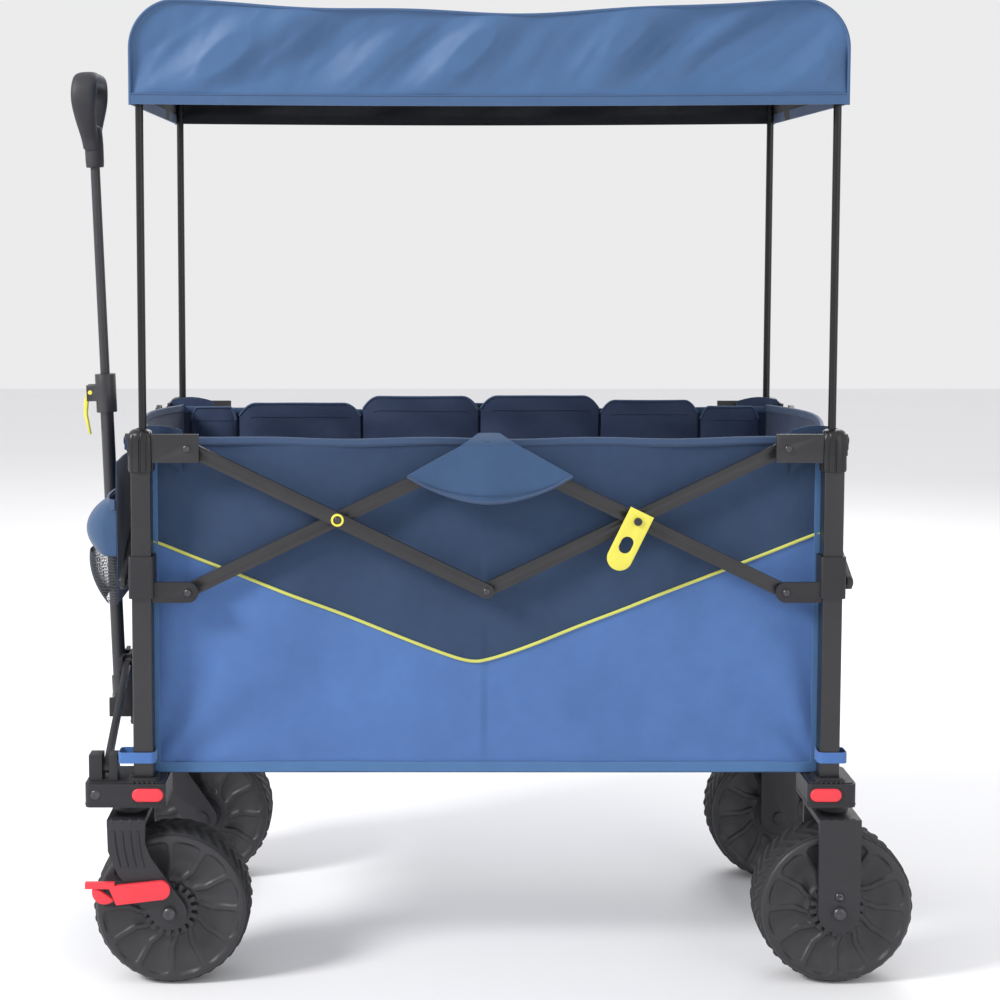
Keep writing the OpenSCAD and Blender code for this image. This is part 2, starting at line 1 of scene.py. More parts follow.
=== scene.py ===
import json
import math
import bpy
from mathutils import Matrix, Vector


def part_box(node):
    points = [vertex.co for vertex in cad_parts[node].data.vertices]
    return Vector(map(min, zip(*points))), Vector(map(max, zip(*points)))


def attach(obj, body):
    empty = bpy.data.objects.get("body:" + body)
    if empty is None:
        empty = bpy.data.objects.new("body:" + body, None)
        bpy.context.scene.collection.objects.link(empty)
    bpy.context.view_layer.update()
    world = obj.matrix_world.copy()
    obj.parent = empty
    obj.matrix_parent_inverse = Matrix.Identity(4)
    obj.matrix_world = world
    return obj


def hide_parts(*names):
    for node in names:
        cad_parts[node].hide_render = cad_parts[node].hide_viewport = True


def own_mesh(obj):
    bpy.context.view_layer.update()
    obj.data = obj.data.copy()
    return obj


bl_info = {
    "name": "Folding Pull Wagon",
    "version": (1, 0, 0),
    "blender": (4, 5, 0),
    "location": "View3D > Sidebar > Wagon",
    "description": "Builds a folding kids pull wagon with a fabric basket and a canopy",
    "category": "Add Mesh",
}

import bpy
from mathutils import Matrix, Vector

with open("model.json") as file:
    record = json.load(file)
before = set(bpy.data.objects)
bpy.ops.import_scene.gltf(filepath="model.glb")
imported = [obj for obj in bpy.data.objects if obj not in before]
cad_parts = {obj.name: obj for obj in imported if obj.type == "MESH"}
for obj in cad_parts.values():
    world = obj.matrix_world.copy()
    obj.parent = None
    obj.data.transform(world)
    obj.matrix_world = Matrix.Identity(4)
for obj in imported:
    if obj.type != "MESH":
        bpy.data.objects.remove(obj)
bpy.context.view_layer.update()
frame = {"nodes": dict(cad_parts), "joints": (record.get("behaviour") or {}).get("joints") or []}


def chosen():
    """The sizes set in the sidebar."""
    return bpy.context.scene.wagon_sizes


ENDS = {"front": -1, "rear": 1}
SIDES = {"near": -1, "far": 1}
TURN = 2 * math.pi


def joint(name):
    return next(j for j in frame["joints"] if j["name"] == name)


def joint_place(name):
    return Vector(joint(name)["pos_m"])


def outer_face(node, s):
    """Where a node ends on the side that s points to."""
    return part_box(node)[1 if s > 0 else 0].y


def pointing(axis):
    """The turn that takes +Z to a direction."""
    return Vector(axis).to_track_quat("Z", "Y").to_matrix().to_4x4()


BASKET_LOW, BASKET_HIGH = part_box("basket_far")
CANOPY_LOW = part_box("canopy_side_near")[0]
CANOPY_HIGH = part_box("canopy_side_far")[1]
FOLD_X = joint_place("near_rear_post_turn").x
TOP_Z = joint_place("fold").z
LOW_Z = joint_place("front_near_slider_turn").z
POST_Y = -joint_place("near_arm_turn").y
SIDE_ARM = 0.058                # from a bar's pivot to the middle of its post
POST_X = FOLD_X + SIDE_ARM

PANEL_INSET = 0.0058            # a side panel's outer face, in from the basket's box
FOOT_LINE = BASKET_LOW.z + 0.001
FOOT_TAPE_RISE = 0.0065         # middle of the foot binding above the foot line
TAPE_THICK = 0.0022
RIM_WIDE, RIM_THICK = 0.0105, 0.0048
RIM_DROP = 0.004                # middle of the rim binding below the cloth's edge
HEM_WIDE, HEM_THICK = 0.0135, 0.0024
HEM_RISE = 0.0068               # middle of the canopy's hem above its lower edge
POCKET_CLOTH = 0.0016
STITCH_RADIUS, STITCH_LENGTH = 0.00045, 0.0024
MERGE = 1e-5                    # points nearer than this become one


# ---------------------------------------------------------------- modelling helpers

def deselect():
    if bpy.context.object and bpy.context.object.mode != "OBJECT":
        bpy.ops.object.mode_set(mode="OBJECT")
    bpy.ops.object.select_all(action="DESELECT")


def pick(obj):
    deselect()
    obj.select_set(True)
    bpy.context.view_layer.objects.active = obj
    return obj


def primitive(name, kind, **settings):
    deselect()
    getattr(bpy.ops.mesh, f"primitive_{kind}_add")(**settings)
    obj = bpy.context.object
    obj.name = obj.data.name = name
    return obj


def edit(obj, *steps):
    """Runs edit-mode operators on the whole mesh: each step is (operator, settings)."""
    pick(obj)
    bpy.ops.object.mode_set(mode="EDIT")
    bpy.ops.mesh.select_all(action="SELECT")
    for operator, settings in steps:
        getattr(bpy.ops.mesh, operator)(**settings)
    bpy.ops.object.mode_set(mode="OBJECT")
    return obj


def outwards(obj):
    return edit(obj, ("remove_doubles", {"threshold": MERGE}),
                ("normals_make_consistent", {"inside": False}))


def modify(obj, kind, **settings):
    pick(obj)
    modifier = obj.modifiers.new(kind, kind)
    for key, value in settings.items():
        setattr(modifier, key, value)
    bpy.ops.object.modifier_apply(modifier=modifier.name)
    return obj


def settle(obj):
    pick(obj)
    bpy.ops.object.transform_apply(location=True, rotation=True, scale=True)
    return obj


def smooth(obj, angle=40):
    pick(obj)
    bpy.ops.object.shade_smooth_by_angle(angle=math.radians(angle))
    return obj


def place(obj, matrix):
    obj.data.transform(matrix)
    return obj


def copied(obj, name, matrix):
    pick(obj)
    bpy.ops.object.duplicate(linked=False)
    copy = bpy.context.object
    copy.name = copy.data.name = name
    return place(copy, matrix)


def slab(name, points, depth, bevel=0.0, plane="XZ", at=0.0, segments=3):
    """A flat outline extruded to a depth. plane names the two axes that its points use."""
    obj = primitive(name, "circle", vertices=len(points), fill_type="NGON")
    for vertex, (a, b) in zip(obj.data.vertices, points):
        vertex.co = {"XZ": (a, at, b), "YZ": (at, a, b), "XY": (a, b, at)}[plane]
    step = {"XZ": (0, depth, 0), "YZ": (depth, 0, 0), "XY": (0, 0, depth)}[plane]
    edit(obj, ("extrude_region_move", {"TRANSFORM_OT_translate": {"value": step}}))
    outwards(obj)
    if bevel:
        modify(obj, "BEVEL", width=bevel, segments=segments, limit_method="ANGLE",
               angle_limit=math.radians(30))
    return smooth(obj)


def arc(cx, cy, r, start, end, steps):
    return [(cx + r * math.cos(math.radians(start + (end - start) * i / steps)),
             cy + r * math.sin(math.radians(start + (end - start) * i / steps)))
            for i in range(steps + 1)]


def round_rect(w, h, r, cx=0.0, cy=0.0, steps=5):
    corners = [(1, 1, 0), (-1, 1, 90), (-1, -1, 180), (1, -1, 270)]
    return [p for sx, sy, a in corners
            for p in arc(cx + sx * (w / 2 - r), cy + sy * (h / 2 - r), r, a, a + 90, steps)]


def turned(name, profile, centre, axis="Y", steps=64):
    """A closed profile of (radius, height) points spun about an axis through the centre."""
    obj = primitive(name, "circle", vertices=len(profile), fill_type="NOTHING")
    for vertex, (r, h) in zip(obj.data.vertices, profile):
        vertex.co = (r, 0, h)
    edit(obj, ("spin", {"steps": steps, "angle": TURN, "center": (0, 0, 0), "axis": (0, 0, 1)}))
    outwards(obj)
    turn = {"Y": Matrix.Rotation(math.radians(90), 4, "X"), "Z": Matrix.Identity(4),
            "X": Matrix.Rotation(math.radians(90), 4, "Y")}[axis]
    return place(obj, Matrix.Translation(centre) @ turn)


def tube(name, points, radius, sides=6):
    """A round rod along a path."""
    curve = bpy.data.curves.new(name, "CURVE")
    curve.dimensions = "3D"
    spline = curve.splines.new("NURBS")
    spline.points.add(len(points) - 1)
    for point, position in zip(spline.points, points):
        point.co = (*position, 1)
    spline.use_endpoint_u = True
    spline.order_u = 3
    spline.resolution_u = 6
    curve.bevel_depth = radius
    curve.bevel_resolution = sides
    curve.use_fill_caps = True
    obj = bpy.data.objects.new(name, curve)
    bpy.context.scene.collection.objects.link(obj)
    pick(obj)
    bpy.ops.object.convert(target="MESH")
    return smooth(outwards(bpy.context.object), 60)


def sheet_grid(name, across, up, shape):
    """A grid of cloth; shape(u, v) gives the place of a point, u and v from 0 to 1."""
    obj = primitive(name, "grid", x_subdivisions=across, y_subdivisions=up, size=1)
    for vertex in obj.data.vertices:
        vertex.co = shape(vertex.co.x + 0.5, vertex.co.y + 0.5)
    return smooth(obj, 80)


def refined(node, bevel=0.0012, segments=2):
    """The node's own shape with its edges rounded, as a separate piece."""
    pick(frame["nodes"][node])
    bpy.ops.object.duplicate(linked=False)
    obj = bpy.context.object
    for key in list(obj.keys()):
        del obj[key]
    obj.parent = None
    obj.name = obj.data.name = f"{node}_piece"
    edit(obj, ("remove_doubles", {"threshold": MERGE}),
         ("dissolve_limited", {"angle_limit": math.radians(2)}))
    if bevel:
        modify(obj, "BEVEL", width=bevel, segments=segments, limit_method="ANGLE",
               angle_limit=math.radians(35), use_clamp_overlap=True, harden_normals=False)
    return smooth(obj, 40)


def done(obj, body, material, nodes=()):
    """Gives a finished piece its material and the body that carries it."""
    if material:
        obj.data.materials.clear()
        obj.data.materials.append(material)
    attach(obj, body)
    if nodes:
        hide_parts(*nodes)
    return obj


def squash_x(obj):
    """Gives a long panel its own copy of its mesh data."""
    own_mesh(obj)


def squash_y(obj):
    """Gives an end panel its own copy of its mesh data."""
    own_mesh(obj)


def declare_sheet(obj):
    """Takes a cloth panel's largest dimension and does nothing more with it."""
    length = max(obj.dimensions)


# ---------------------------------------------------------------- materials

class Field:
    """A number socket with arithmetic: each operator adds a Math node."""

    def __init__(self, tree, socket):
        self.tree = tree
        self.socket = socket

    def _math(self, operation, *values):
        node = self.tree.nodes.new("ShaderNodeMath")
        node.operation = operation
        for socket, value in zip(node.inputs, values):
            if isinstance(value, Field):
                self.tree.links.new(value.socket, socket)
            else:
                socket.default_value = value
        return Field(self.tree, node.outputs[0])

    def __add__(self, other):
        return self._math("ADD", self, other)

    def __sub__(self, other):
        return self._math("SUBTRACT", self, other)

    def __rsub__(self, other):
        return self._math("SUBTRACT", other, self)

    def __mul__(self, other):
        return self._math("MULTIPLY", self, other)

    def sin(self):
        return self._math("SINE", self)

    __radd__ = __add__
    __rmul__ = __mul__


class Finish:
    """A material under construction."""

    def __init__(self, name, **sockets):
        self.material = bpy.data.materials.new(name)
        self.material.use_nodes = True
        self.tree = self.material.node_tree
        self.shader = self.tree.nodes["Principled BSDF"]
        for key, value in sockets.items():
            self.shader.inputs[key.replace("_", " ")].default_value = value

    def node(self, kind, settings=None, output=0, **values):
        node = self.tree.nodes.new("ShaderNode" + kind)
        for key, value in (settings or {}).items():
            if key == "stops":
                for element, (position, colour) in zip(node.color_ramp.elements, value):
                    element.position = position
                    element.color = (*colour, 1)
            else:
                setattr(node, key, value)
        for key, value in values.items():
            socket = node.inputs[int(key[1:])] if key[0] == "i" and key[1:].isdigit() \
                else node.inputs[key.replace("_", " ")]
            if isinstance(value, Field):
                self.tree.links.new(value.socket, socket)
            else:
                socket.default_value = value
        return Field(self.tree, node.outputs[output])

    def place(self):
        return self.node("TexCoord", output=3)

    def axes(self):
        split = self.tree.nodes.new("ShaderNodeSeparateXYZ")
        self.tree.links.new(self.place().socket, split.inputs[0])
        return [Field(self.tree, s) for s in split.outputs]

    def noise(self, scale, detail=2.0, roughness=0.5):
        return self.node("TexNoise", Vector=self.place(), Scale=scale, Detail=detail,
                         Roughness=roughness)

    def mix(self, factor, a, b):
        return self.node("Mix", {"data_type": "RGBA"}, output=2, i0=factor,
                         i6=(*a, 1) if isinstance(a, tuple) else a,
                         i7=(*b, 1) if isinstance(b, tuple) else b)

    def set(self, **sockets):
        for key, value in sockets.items():
            self.tree.links.new(value.socket, self.shader.inputs[key.replace("_", " ")])
        return self

    def bump(self, height, strength, distance, below=None):
        values = {"Strength": strength, "Distance": distance, "Height": height}
        if below:
            values["Normal"] = below
        return self.node("Bump", **values)


def linear(r, g, b):
    """Linear colour from the 0 to 255 values of a display."""
    def one(value):
        value /= 255
        return value / 12.92 if value <= 0.04045 else ((value + 0.055) / 1.055) ** 2.4
    return one(r), one(g), one(b)


def cloth(name, colour, thread=0.0011, crease=0.35, rough=0.78):
    """Woven polyester: crossed threads, soft creases and a slight unevenness of dye."""
    f = Finish(name, Roughness=rough, Sheen_Weight=0.25, Sheen_Roughness=0.4)
    x, y, z = f.axes()
    turns = TURN / thread
    warp = ((x + y * 0.7) * turns).sin()
    weft = ((z + y * 0.7) * turns).sin()
    weave = warp * weft
    dye = f.noise(5.0, 3.0)
    cloudy = f.noise(38.0, 3.0)
    dark = tuple(c * 0.75 for c in colour)
    light = tuple(min(1, c * 1.18) for c in colour)
    tint = f.mix(dye * 0.45 + cloudy * 0.35 + weave * 0.05, dark, light)
    folds = f.bump(f.noise(16.0, 4.0, 0.45), crease, 0.006)
    f.set(Base_Color=tint, Normal=f.bump(weave, 0.18, 0.0003, folds),
          Roughness=f.noise(60.0) * 0.16 + (rough - 0.08))
    return f.material


def webbing(name, colour):
    """Ribbed tape."""
    f = Finish(name, Roughness=0.7, Sheen_Weight=0.2)
    x, y, z = f.axes()
    ribs = ((x + y + z) * (TURN / 0.0024)).sin()
    dark = tuple(c * 0.72 for c in colour)
    f.set(Base_Color=f.mix(ribs * 0.25 + f.noise(30.0) * 0.5, dark, colour),
          Normal=f.bump(ribs, 0.35, 0.0005))
    return f.material


def coated_steel(name, colour):
    """Powder coat: fine orange peel, rubbed a little brighter in places."""
    rough = 0.36
    f = Finish(name, Roughness=rough, Metallic=0.0, Coat_Weight=0.15, Coat_Roughness=0.3)
    rubbed = f.noise(22.0, 5.0, 0.6)
    f.set(Base_Color=f.mix(rubbed, colour, tuple(c * 1.7 + 0.004 for c in colour)),
          Roughness=f.noise(140.0, 2.0) * 0.18 + (rough - 0.06),
          Normal=f.bump(f.noise(900.0, 1.0), 0.12, 0.0004))
    return f.material


def moulded(name, colour, rough=0.52, grain=420.0, depth=0.22):
    """Moulded plastic with a spark-eroded grain and faint handling marks."""
    f = Finish(name, Roughness=rough, IOR=1.46)
    marks = f.noise(9.0, 4.0, 0.6)
    dark = tuple(c * 0.8 for c in colour)
    f.set(Base_Color=f.mix(marks, dark, tuple(min(1, c * 1.22) for c in colour)),
          Roughness=f.noise(75.0, 3.0) * 0.2 + (rough - 0.1),
          Normal=f.bump(f.noise(grain, 2.0, 0.6), depth, 0.0004))
    return f.material


def bright_metal(name, colour, rough=0.22):
    f = Finish(name, Roughness=rough, Metallic=1.0)
    f.set(Base_Color=f.mix(f.noise(120.0, 3.0), tuple(c * 0.75 for c in colour), colour),
          Roughness=f.noise(260.0) * 0.2 + rough, Normal=f.bump(f.noise(500.0), 0.08, 0.0003))
    return f.material


PAINT = {}


def make_materials(colours):
    """Every finish of the wagon, from the colours of the sidebar."""
    def c(name):
        return tuple(getattr(colours, name))
    PAINT.update({
        "canopy": cloth("canopy_cloth", c("canopy"), thread=0.001, crease=0.35, rough=0.5),
        "hem": cloth("hem_cloth", c("hem"), crease=0.2),
        "lining": cloth("canopy_lining", c("lining"), crease=0.3, rough=0.8),
        "basket": cloth("basket_cloth", c("basket"), crease=0.55),
        "navy": cloth("navy_cloth", c("navy"), crease=0.55),
        "inside": cloth("inside_cloth", c("inside"), crease=0.5),
        "flap": cloth("flap_cloth", c("flap"), crease=0.3),
        "binding": webbing("edge_binding", c("binding")),
        "rim": webbing("rim_binding", c("rim")),
        "strap": webbing("corner_strap", c("strap")),
        "lime_cord": webbing("lime_piping", c("piping")),
        "thread": webbing("seam_thread", c("thread")),
        "net": webbing("net_cord", c("net")),
        "steel": coated_steel("frame_coat", c("steel")),
        "handle": coated_steel("handle_coat", c("handle")),
        "moulding": moulded("bracket_plastic", c("moulding")),
        "fork": moulded("fork_plastic", c("fork"), rough=0.5),
        "wheel": moulded("wheel_plastic", c("wheel"), rough=0.46, depth=0.3),
        "tread": moulded("tread_rubber", c("tread"), rough=0.75, grain=260.0, depth=0.4),
        "grip": moulded("grip_rubber", c("grip"), rough=0.6, grain=300.0),
        "cap": moulded("cap_plastic", c("cap"), rough=0.3, depth=0.1),
        "pole": moulded("pole_glassfibre", c("pole"), rough=0.25, depth=0.05),
        "red": moulded("red_plastic", c("red"), rough=0.4, depth=0.12),
        "lime": moulded("lime_plastic", c("lime"), rough=0.45, depth=0.25),
        "rivet": bright_metal("worn_rivet", c("rivet"), 0.26),
    })


# ---------------------------------------------------------------- pieces of the frame

CORNERS = {f"{end}_{side}": (end, side) for end in ENDS for side in SIDES}


def corner_body(corner):
    return f"{corner}_corner"


def rivet_head(name, centre, axis, radius=0.0048, proud=0.0016, body=None):
    """A domed rivet head with a small dimple."""
    profile = [(0.0004, proud * 0.55), (radius * 0.25, proud * 0.6), (radius * 0.42, proud),
               (radius * 0.72, proud * 0.85), (radius * 0.95, proud * 0.35), (radius, -0.0004),
               (radius * 0.6, -0.0006), (0.0004, -0.0006)]
    obj = turned(name, profile, (0, 0, 0), "Z", 28)
    place(obj, Matrix.Translation(centre) @ pointing(axis))
    return done(smooth(obj, 50), body, PAINT["rivet"])


def build_frame(settings):
    bevel = settings.edge_round
    for corner, (end, side) in CORNERS.items():
        body = corner_body(corner)
        done(refined(f"post_{corner}", bevel), body, PAINT["steel"],
             [f"post_{corner}"])
        done(refined(f"slider_{corner}", bevel * 1.4), f"{corner}_slider", PAINT["moulding"],
             [f"slider_{corner}"])
        s = SIDES[side]
        outer = outer_face(f"post_{corner}", s)
        x = ENDS[end] * FOLD_X
        rivet_head(f"bracket_rivet_{corner}", (x, outer, TOP_Z), (0, s, 0), body=body)
        rivet_head(f"slider_rivet_{corner}", (x, outer, LOW_Z), (0, s, 0), body=f"{corner}_slider")
    for side, s in SIDES.items():
        for number in range(1, 5):
            node = f"side_bar_{side}_{number}"
            done(refined(node, bevel * 0.8), f"{side}_bar_{number}", PAINT["steel"],
                 [node])
        face = outer_face(f"side_bar_{side}_1", s)
        middle = (TOP_Z + LOW_Z) / 2
        ring = [(0.0052, 0.0), (0.0076, 0.0), (0.0082, 0.0012), (0.0076, 0.0026), (0.0056, 0.0026),
                (0.0052, 0.0012)]
        washer = turned(f"lime_washer_{side}", ring, (0, 0, 0), "Z", 40)
        place(washer, Matrix.Translation((-FOLD_X / 2, face - s * 0.0008, middle))
              @ pointing((0, s, 0)))
        done(smooth(washer), f"{side}_bar_1", PAINT["lime"])
        rivet_head(f"cross_rivet_{side}", (-FOLD_X / 2, face, middle), (0, s, 0),
                   body=f"{side}_bar_1")
        rivet_head(f"low_rivet_{side}", (0, face, LOW_Z), (0, s, 0), body=f"{side}_bar_1")
    for end in ENDS:
        for number in (1, 2):
            node = f"end_bar_{end}_{number}"
            done(refined(node, bevel * 0.8), f"{end}_bar_{number}", PAINT["steel"],
                 [node])


def button_outline(length, height, cx, cz):
    """A slot with round ends."""
    r = height / 2
    reach = length / 2 - r
    return arc(cx + reach, cz, r, -90, 90, 10) + arc(cx - reach, cz, r, 90, 270, 10)


def build_bases(settings):
    for corner, (end, side) in CORNERS.items():
        body = corner_body(corner)
        done(refined(f"base_{corner}", settings.edge_round * 1.8, segments=3), body,
             PAINT["moulding"], [f"base_{corner}"])
        low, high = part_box(f"button_{corner}")
        cx, cz = (low.x + high.x) / 2, (low.z + high.z) / 2
        length, height = high.x - low.x, high.z - low.z
        red = slab(f"release_button_{corner}", button_outline(length, height, cx, cz),
                   high.y - low.y, 0.0022, "XZ", low.y, 4)
        done(red, f"{corner}_button", PAINT["red"], [f"button_{corner}"])
        s = SIDES[side]
        face = outer_face(f"base_{corner}", s)
        around = button_outline(length + 0.005, height + 0.005, cx, cz)
        rim = slab(f"button_surround_{corner}", around, 0.0014, 0.0005, "XZ", face - 0.0007)
        hole = slab("cutter", button_outline(length + 0.001, height + 0.001, cx, cz), 0.02, 0, "XZ",
                    face - 0.01)
        cut_away(rim, hole)
        done(smooth(rim), body, PAINT["moulding"])
        base_details(corner, body)
        if end == "front":
            bolt = (ENDS[end] * (abs(cx) + 0.066), face, cz)
            rivet_head(f"base_bolt_{corner}", bolt, (0, s, 0), 0.0065, 0.0014, body)


def base_details(corner, body):
    """The lid and foot lip of a corner base, and the stepped boot around its post."""
    end, side = CORNERS[corner]
    low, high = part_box(f"base_{corner}")
    boot = 0.006
    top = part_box("base_rear_far")[1].z - boot
    cx, cy = (low.x + high.x) / 2, (low.y + high.y) / 2
    w, d = high.x - low.x, high.y - low.y
    lid = slab(f"base_lid_{corner}", round_rect(w - 0.005, d - 0.005, 0.006, cx, cy), 0.0022,
               0.0008, "XY", top - 0.0006, 2)
    lip = slab(f"base_lip_{corner}", round_rect(w + 0.0012, d + 0.0012, 0.0075, cx, cy), 0.0026,
               0.0008, "XY", low.z + 0.0022, 2)
    for obj in (lid, lip):
        done(obj, body, PAINT["moulding"])
    px, py = ENDS[end] * POST_X, SIDES[side] * POST_Y
    for i, (wide, tall) in enumerate(((0.0415, 0.0020), (0.0385, 0.0040), (0.0355, 0.0056))):
        step = slab(f"boot_step_{corner}_{i}", round_rect(wide, wide, 0.006, px, py), tall, 0.0007,
                    "XY", top, 2)
        done(step, body, PAINT["moulding"])
    for i in range(5):
        x = px + (i - 2) * 0.0062
        rib = primitive(f"boot_rib_{corner}_{i}", "cube", size=1,
                        location=(x, py + SIDES[side] * 0.0212, top + 0.0014))
        rib.scale = (0.0026, 0.0030, 0.0040)
        modify(settle(rib), "BEVEL", width=0.0008, segments=2)
        done(smooth(rib), body, PAINT["moulding"])


def build_forks(settings):
    for corner, (end, side) in CORNERS.items():
        body = f"{side}_caster" if end == "front" else corner_body(corner)
        done(refined(f"fork_{corner}", settings.edge_round * 2.2, segments=3), body, PAINT["fork"],
             [f"fork_{corner}"])
        s = SIDES[side]
        axle = joint_place(f"{end}_{side}_wheel_spin")
        face = outer_face(f"fork_{corner}", s)
        rivet_head(f"axle_nut_{corner}", (axle.x, face, axle.z), (0, s, 0), 0.0085, 0.003, body)
        dx, dz = (0, 0.021) if end == "rear" else (-0.026, 0.025)
        rivet_head(f"pawl_bolt_{corner}", (axle.x + dx, face - s * 0.004, axle.z + dz), (0, s, 0),
                   0.006, 0.003, body)
        crown_z = joint_place("near_caster_swivel").z
        cx = joint_place("near_caster_swivel").x if end == "front" else axle.x
        for i in range(4):
            x = cx + (i - 1.5) * 0.0115
            bump = primitive(f"crown_bump_{corner}_{i}", "uv_sphere", segments=16, ring_count=10,
                             radius=0.0042, location=(x, face - s * 0.0075, crown_z + 0.0055))
            bump.scale = (1, 1, 0.9)
            done(smooth(settle(bump), 80), body, PAINT["fork"])
        if end == "front":
            for i in range(4):
                x = cx + (i - 1.5) * 0.010
                path = [(x, face - s * 0.0042, crown_z - 0.006),
                        (x + 0.0005, face - s * 0.0036, crown_z - 0.03),
                        (x + 0.007, face - s * 0.0040, crown_z - 0.052)]
                rib = tube(f"leg_rib_{corner}_{i}", path, 0.0016)
                done(rib, body, PAINT["fork"])


def build_brakes():
    for side, s in SIDES.items():
        node = f"brake_lever_{side}"
        done(refined(node, 0.0022, segments=3), f"{side}_brake", PAINT["red"],
             [node])
        pivot = joint_place(f"{side}_brake_press")
        pad_low, pad_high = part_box(node)
        arc_pad = arc(pad_low.x + 0.024, pivot.z - 0.003, 0.016, 150, 320, 14)
        pad = slab(f"brake_foot_{side}", arc_pad, 0.007, 0.002, "XZ",
                   pad_high.y - 0.0085 if s > 0 else pad_low.y + 0.0015, 3)
        done(pad, f"{side}_brake", PAINT["red"])
        face = outer_face(node, s) - s * 0.0042
        profile = [(0.0028, 0), (0.0058, 0), (0.0058, 0.0016), (0.0046, 0.0024), (0.0028, 0.0018)]
        ring = turned(f"brake_pivot_{side}", profile, (0, 0, 0), "Z", 32)
        place(ring, Matrix.Translation((pivot.x, face, pivot.z)) @ pointing((0, s, 0)))
        done(smooth(ring), f"{side}_brake", PAINT["rivet"])


# ---------------------------------------------------------------- wheels

PETALS = 12
CHEVRONS = 36


def ease(value):
    """Smooth step from 0 to 1."""
    value = max(0.0, min(1.0, value))
    return value * value * (3 - 2 * value)


def petal_depth(rad, angle, sink):
    """How deep a wheel's face is sunk: twelve petals between narrow spokes that bend at the hub."""
    angle -= 0.010 * max(0.0, 52 - rad * 1000)
    half_turn = math.pi / PETALS
    local = abs((angle % (2 * half_turn)) - half_turn)
    from_spoke = rad * (half_turn - local)
    sides = ease((from_spoke - 0.0024) / 0.0022)
    tip = 0.0875 - rad - 0.012 * (local / half_turn) ** 6
    ends = ease((rad - 0.034) / 0.006) * ease(tip / 0.0022)
    belly = 0.75 + 0.25 * math.cos(local / half_turn * math.pi)
    return sink * sides * ends * belly


def wheel_disc(half):
    """Moulded wheel: a face of sunken petals, a raised hub and a rounded outer edge."""
    hub = [(0.0065, 0.0), (0.0125, 0.0), (0.0135, 0.0012), (0.0225, 0.0014), (0.0238, 0.004),
           (0.0265, 0.0092), (0.0300, 0.0096)]
    rings = 31
    face = [(0.032 + 0.058 * i / rings, 0.0096 - 0.0052 * ease((i / rings - 0.45) / 0.5))
            for i in range(rings + 1)]
    edge = [(0.0915, 0.0044), (0.0935, 0.0054), (0.0950, 0.0076), (0.0958, 0.0105),
            (0.0950, 0.013)]
    profile = [(r, half - h) for r, h in hub + face + edge]
    profile += [(r, -h) for r, h in reversed(profile)]
    sink = chosen().petal_sink
    disc = turned("wheel_disc", profile, (0, 0, 0), "Z", 360)
    for vertex in disc.data.vertices:
        x, y, z = vertex.co
        rad = math.hypot(x, y)
        if 0.031 < rad < 0.0905:
            vertex.co.z -= math.copysign(petal_depth(rad, math.atan2(y, x), sink), z)
    return smooth(disc, 50)


def brake_ring(half):
    """Ring of teeth around the hub that the brake's pin drops into."""
    teeth, tip, root = 18, 0.0345, 0.0265
    points = []
    w = 360 / teeth
    for i in range(teeth):
        a = w * i
        points += arc(0, 0, tip, a, a + w * 0.5, 2)
        points += arc(0, 0, root, a + w * 0.55, a + w * 0.95, 2)
    return slab("brake_ring", points, 0.012, 0.0006, "XY", half - 0.0135, 2)


def tyre(radius, half):
    """Broad tread with raised chevrons that point round the wheel."""
    inner = radius - 0.0072
    tread_half = half - 0.0072
    rows = 32
    crown = []
    for i in range(rows + 1):
        t = i / rows * 2 - 1
        shoulder = max(0.0, abs(t) - 0.70) / 0.30
        crown.append((radius - 0.0006 * t * t - 0.0062 * shoulder ** 2, t * tread_half))
    profile = [(inner, -half + 0.0145)] + crown + [(inner, half - 0.0145)]
    depth = chosen().tread_depth
    body = turned("tyre", profile, (0, 0, 0), "Z", CHEVRONS * 12)
    for vertex in body.data.vertices:
        x, y, z = vertex.co
        rad = math.hypot(x, y)
        t = abs(z) / tread_half
        if rad < inner + 0.001 or t > 0.9:
            continue
        phase = (math.atan2(y, x) * CHEVRONS / TURN + t * 1.35) % 1
        groove = ease((0.36 - abs(phase - 0.5)) / 0.1) * ease((0.9 - t) / 0.12)
        k = 1 - depth * groove / rad
        vertex.co.x *= k
        vertex.co.y *= k
    return smooth(body, 40)


def build_wheels():
    low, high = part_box("wheel_rear_far")
    radius, half = (high.z - low.z) / 2, (high.y - low.y) / 2
    disc, ring, band = wheel_disc(half), brake_ring(half), tyre(radius, half)
    for corner, (end, side) in CORNERS.items():
        axle = joint_place(f"{end}_{side}_wheel_spin")
        turn = Matrix.Rotation(math.radians(-90 * SIDES[side]), 4, "X")
        at = Matrix.Translation(axle) @ turn
        body = f"{end}_{side}_wheel"
        done(copied(disc, f"wheel_{corner}_disc", at), body, PAINT["wheel"],
             [f"wheel_{corner}"])
        done(copied(band, f"tyre_{corner}", at), body, PAINT["tread"])
        done(copied(ring, f"brake_ring_{corner}", at), body, PAINT["wheel"])
    for obj in (disc, ring, band):
        bpy.data.objects.remove(obj)


# ---------------------------------------------------------------- canopy

def ripple(x, z, seed=0.0):
    """Slanting folds of slack cloth that fade in and out, from upper right to lower left."""
    value = 0.0
    for i in range(7):
        slope = 0.95 + 0.28 * math.sin(2.3 * i + seed)
        across = x - slope * z + 0.012 * math.sin(23 * z + 5 * x + seed + i)
        wave = math.sin(across * (15 + 9.5 * i) + 2.1 * i + seed)
        fade = 0.5 + 0.5 * math.sin(x * (5 + 1.7 * i) + 3.7 * i - seed)
        value += math.copysign(abs(wave) ** 1.4, wave) * fade / (1 + 0.55 * i)
    return value * 0.55


